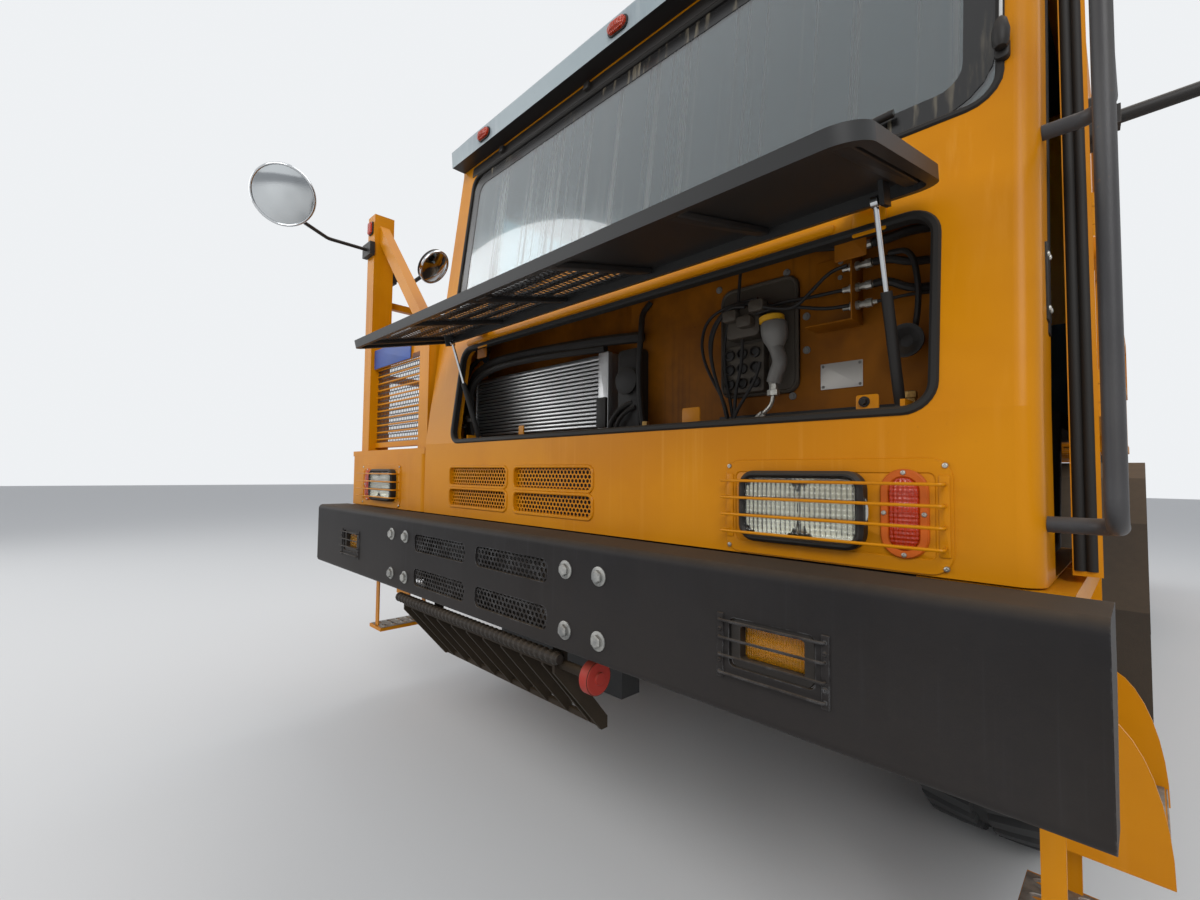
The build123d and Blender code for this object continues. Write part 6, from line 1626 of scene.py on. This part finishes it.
@dataclass
class Wheels:
    """Treaded tyres and nuts on every wheel."""

    radius: float = 0.745
    lugs: int = 40
    front_x: float = 1.335
    twin_x: Pair = (1.532, 1.052)
    axles: Triple = (1.870, 5.720, 7.370)

    def tyre(self) -> Form:
        """A tyre about the X axis: rings across it, each a radius round the axle, lowered in the grooves.

        Returns:
            The tyre round the origin.
        """
        # place across, radius at the lugs' tops, and drop between them
        half = np.array([
            (0.143, 0.3230, 0.0), (0.150, 0.352, 0.0), (0.168, 0.372, 0.0), (0.172, 0.380, 0.0),
            (0.190, 0.44, 0.0), (0.206, 0.51, 0.0), (0.2145, 0.575, 0.0), (0.2145, 0.62, 0.0),
            (0.206, 0.668, 0.0), (0.199, 0.695, 0.004), (0.190, 0.727, 0.022), (0.176, 0.740, 0.026),
            (0.090, 0.7445, 0.026), (0.026, 0.745, 0.026), (0.020, 0.719, 0.0),
        ])
        rows = np.concatenate([half * [-1, 1, 1], half[::-1]])
        share = np.array([0.0, 0.035, 0.3, 0.545, 0.58, 0.8])
        raised = np.array([0, 1, 1, 1, 0, 0], float)
        turn = ((np.arange(self.lugs)[:, None] + share) / self.lugs * 2 * np.pi).reshape(-1)
        top = np.tile(raised, self.lugs)
        across, tops, drop = rows.T
        pitch = 2 * np.pi / self.lugs
        # the grooves lean by half a pitch towards the shoulders, and the two halves are set off by another
        slant = np.where((drop > 0) | (tops > 0.6), np.abs(across) / 0.2, 1.0)
        shift = (slant * 0.55 + np.where(across > 0, 0.5, 0.0)) * pitch
        angle = turn[None] + shift[:, None]
        height = tops[:, None] - drop[:, None] * (1 - top[None])
        across = np.repeat(across[:, None], len(turn), 1)
        points = np.stack([across, height * np.sin(angle), height * np.cos(angle)], -1)
        return Form(points.reshape(-1, 3), [weave(len(rows), len(turn), True, True)])

    def nuts(self, face: float, ring: float, count: int = 12) -> Form:
        """A ring of wheel nuts about the X axis, facing outboard.

        Args:
            face: place of the disc's face along X.
            ring: the ring's radius.
            count: how many.

        Returns:
            The nuts.
        """
        profile = [(0.017, 0), (0.017, 0.02), (0.014, 0.024), (0.009, 0.024), (0.009, 0.036), (0.007, 0.038)]
        turn = np.arange(count) * 2 * np.pi / count
        spots = np.stack([np.full(count, face), ring * np.sin(turn), ring * np.cos(turn)], 1)
        return turned_form(profile, 6).outboard(0, 0, 0).repeated(spots)

    def dress(self) -> None:
        """Builds the tyres and nuts of all six wheels and paints the rims."""
        shape = self.tyre()
        front, mid, rear = self.axles
        # each axle's word and place, its wheels' places across, and the nuts' place on the wheel and ring
        rows = (
            ("front", front, (self.front_x,), 0.096, 0.17), ("mid", mid, self.twin_x, -0.076, 0.20),
            ("rear", rear, self.twin_x, -0.076, 0.20),
        )
        for side, word in SIDES:
            for axle, y, across, face, ring in rows:
                many = "s" if len(across) > 1 else ""
                body, tyre_node = f"{axle}_{word}_wheel{many}", f"tyre{many}_{axle}_{word}"
                centre = [(0, y, self.radius)]
                tyres = shape.repeated([(x, 0, 0) for x in across]).sided(side).repeated(centre)
                piece = make(f"tread_{axle}_{word}", TYRE, tyres, body=body)
                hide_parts(tyre_node)
                paint(WHEEL, f"rim{many}_{axle}_{word}")
                nuts = self.nuts(across[0] + face, ring).sided(side).repeated(centre)
                make(f"wheel_nuts_{axle}_{word}", BRIGHT, nuts, body=body)


@dataclass
class TippingBody:
    """The tipping body with its striped lip, and the hoists under it."""

    def dress(self) -> None:
        """Paints the body and the hoists."""
        paint(BODY_PAINT, "dump_floor", "dump_left_side", "dump_right_side")
        paint(STRIPED, "dump_front")
        paint(BLACK, "hoist_barrels")
        paint(CHROME, "hoist_sleeves_1", "hoist_sleeves_2", "hoist_rods")


@dataclass
class Underside:
    """Frame, axles, engine and guards below the cab."""

    # the pipe's ends across, its place back and up, and its points, two to a ring
    pipe_x: Pair = (-0.72, 0.46)
    pipe: Pair = (0.058, 0.868)
    count: int = 160
    pin: Triple = (0.560, 0.10, 0.835)

    def dress(self) -> None:
        """Paints the running gear and builds the guard's ringed pipe and tow pin."""
        paint(CHASSIS, "frame_rails", "radiator_guard")
        paint(SPRINGS, "axles", "suspension", "drive_line", "knuckle_left", "knuckle_right", "tie_rod")
        paint(ENGINE, "engine_block")
        paint(RADIATOR, "radiator")
        paint(TANKS, "side_tanks")
        radius = 0.019 + 0.003 * np.sign(np.sin(np.arange(self.count) * np.pi / 2 + 0.4))
        x = np.linspace(*self.pipe_x, self.count)
        line = np.stack([x, *(np.full(self.count, place) for place in self.pipe)], 1)
        make("guard_pipe", HOSE, tube(line, radius, 12), crease=20)
        disc = turned_form([(0, 0), (0.05, 0), (0.053, 0.004), (0.053, 0.034), (0.048, 0.038), (0.02, 0.038),
                            (0.018, 0.044), (0, 0.044)], 36)
        make("tow_pin", TOW_RED, disc.outboard(*self.pin))


@dataclass
class DriverSeat:
    """The driver's seat as crowned cushions over a sprung base."""

    centre: Pair = (1.15, 1.37)
    floor: float = 1.670
    back_y: float = 1.72
    # places back of the headrest's stems, foot and top
    stem_y: Pair = (1.735, 1.745)
    lean: float = 8.0

    def cushion(self, width: float, depth: float, thick: float) -> Form:
        """A crowned pad: a rounded square ring drawn in above and below, its sides pulled in between corners.

        Args:
            width, depth, thick: its size.

        Returns:
            The pad, its middle at the origin.
        """
        level = np.linspace(-1, 1, 11)
        bulge = (1 - np.abs(level) ** 2.6) ** 0.5
        outline = rounded(width, depth, 0.07, 8)
        pull = 1 - 0.03 * np.cos(4 * np.arctan2(outline[:, 1], outline[:, 0]))[:, None]
        rings = [
            at_height(outline * ((0.86 + 0.14 * swell) * pull), height * thick / 2 * 0.86)
            for height, swell in zip(level, bulge)
        ]
        for share in (0.7, 0.4, 0.0):
            top = at_height(rings[10][:, :2] * share, thick / 2 * (1 - 0.14 * share))
            rings.append(top)
            rings.insert(0, top * [1, 1, -1])
        return loft(np.stack(rings))

    def dress(self) -> None:
        """Builds base, cushion, backrest and headrest, and hides the plain solids."""
        x, y = self.centre
        seat = self.cushion(0.48, 0.48, 0.12).upward(x, y, self.floor + 0.25)
        lean = np.radians(self.lean)
        up = np.array([0, np.sin(lean), np.cos(lean)])
        out = np.array([0, -np.cos(lean), np.sin(lean)])
        back = self.cushion(0.46, 0.58, 0.10).placed((x, self.back_y, self.floor + 0.63), X_AXIS, up, out)
        head = self.cushion(0.24, 0.15, 0.08).placed((x, self.back_y + 0.025, self.floor + 1.045), X_AXIS, up, out)
        pieces = [
            make(name, CLOTH, form, crease=70)
            for name, form in (("seat_cushion", seat), ("seat_back", back), ("seat_head", head))
        ]
        base = slab(0.34, 0.34, 0.05, 0.03, 0.006).upward(x, y, self.floor + 0.001)
        widths = [0.30, 0.28] * 6 + [0.30]
        rings = [at_height(rounded(width, width, 0.04), 0.05 + 0.011 * i) for i, width in enumerate(widths)]
        bellows = loft(np.stack(rings)).upward(x, y, self.floor)
        foot, top = self.stem_y
        stems = [
            tube([(stem, foot, self.floor + 0.88), (stem, top, self.floor + 1.0)], 0.006, 8)
            for stem in (x - 0.05, x + 0.05)
        ]
        bracket = bar((x, 1.52, self.floor + 0.17), (x, 1.70, self.floor + 0.17), 0.30, 0.02)
        upright = bar((x, 1.69, self.floor + 0.17), (x, 1.70, self.floor + 0.42), 0.30, 0.02)
        base_piece = make("seat_base", TRIM, base, bellows, bracket, upright, *stems)
        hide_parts("driver_seat")


# Studio


@dataclass
class Studio:
    """Pale floor, soft light and a camera where the photograph was taken from."""

    eye: Triple = (1.791, -1.079, 1.465)
    yaw: float = 45.52
    pitch: float = 2.52
    roll: float = 0.631
    lens: float = 16.08
    sensor: float = 36.0
    far: float = 200.0
    # what the lamps face
    aim: Triple = (0.0, 2.0, 1.5)

    def camera(self) -> None:
        """Makes the camera: forward from yaw and pitch, then rolled about it."""
        yaw, pitch, roll = np.radians([self.yaw, self.pitch, self.roll])
        forward = np.array([-np.sin(yaw) * np.cos(pitch), np.cos(yaw) * np.cos(pitch), np.sin(pitch)])
        level = np.array([np.cos(yaw), np.sin(yaw), 0.0])
        above = np.cross(level, forward)
        right = np.cos(roll) * level + np.sin(roll) * above
        up = -np.sin(roll) * level + np.cos(roll) * above
        data = bpy.data.cameras.new("photo_camera")
        data.lens, data.sensor_width, data.clip_end = self.lens, self.sensor, self.far
        camera = bpy.data.objects.new("photo_camera", data)
        place = Matrix.Identity(4)
        for column, way in enumerate((right, up, -forward, np.array(self.eye))):
            for row in range(3):
                place[row][column] = float(way[row])
        camera.matrix_world = place
        bpy.context.scene.collection.objects.link(camera)
        bpy.context.scene.camera = camera

    def lights(self) -> None:
        """Hangs three large soft lamps and sets a pale, even sky."""
        # name, place, diameter and power of each
        for name, place, size, power in (
            ("key_lamp", (7.0, -8.0, 8.5), 7.0, 800.0), ("fill_lamp", (-9.0, -7.0, 6.0), 8.0, 340.0),
            ("top_lamp", (1.0, 5.0, 12.0), 9.0, 600.0),
        ):
            data = bpy.data.lights.new(name, "AREA")
            data.shape, data.size, data.energy = "DISK", size, power
            lamp = bpy.data.objects.new(name, data)
            way = Vector(self.aim) - Vector(place)
            lamp.matrix_world = Matrix.Translation(place) @ way.to_track_quat("-Z", "Y").to_matrix().to_4x4()
            bpy.context.scene.collection.objects.link(lamp)
        world = bpy.data.worlds.new("studio_sky")
        bpy.context.scene.world = world
        world.use_nodes = True
        graph = Graph(world.node_tree)
        rays = graph.add("LightPath").outputs
        seen = graph.math("MAXIMUM", rays["Is Camera Ray"], rays["Is Glossy Ray"])
        seen = graph.math("MAXIMUM", seen, rays["Is Transmission Ray"])
        colour = graph.mix(seen, (0.50, 0.52, 0.56, 1), (0.86, 0.88, 0.90, 1))
        graph.feed(world.node_tree.nodes["Background"], {"Color": colour, "Strength": 1.0})

    def floor(self) -> None:
        """Lays the pale floor, a wide grid whose edge is far out of sight."""
        reach, count = 60, 13
        x, y = np.meshgrid(*[np.linspace(-reach, reach, count)] * 2)
        mesh = bpy.data.meshes.new("floor")
        points = np.stack([x, y, np.zeros_like(x)], -1).reshape(-1, 3)
        mesh.from_pydata(points.tolist(), [], weave(count, count, False, False).tolist())
        material = bpy.data.materials.new("pale_floor")
        material.use_nodes = True
        shader = material.node_tree.nodes["Principled BSDF"]
        Graph(material.node_tree).feed(shader, {"Base Color": (0.66, 0.66, 0.65, 1), "Roughness": 0.9})
        mesh.materials.append(material)
        floor = bpy.data.objects.new("floor", mesh)
        bpy.context.scene.collection.objects.link(floor)

    def build(self) -> None:
        """Sets up camera, lights, floor and the plain view transform."""
        self.camera()
        self.lights()
        self.floor()
        bpy.context.scene.view_settings.view_transform = "Standard"


def main() -> None:
    """Builds the studio and every sub-assembly."""
    logging.basicConfig(level=logging.INFO, format="%(message)s")
    Studio().build()
    for assembly in (
        FrontBumper(), FrontVents(), HeadLamps(), ServiceBay(), FrontHatch(), Cab(), DriverDoor(), RoundMirrors(),
        Platform(), BoardingSteps(), Wheels(), TippingBody(), Underside(), DriverSeat(),
    ):
        log.info("%s", type(assembly).__name__)
        assembly.dress()


if __name__ == "__main__":
    main()
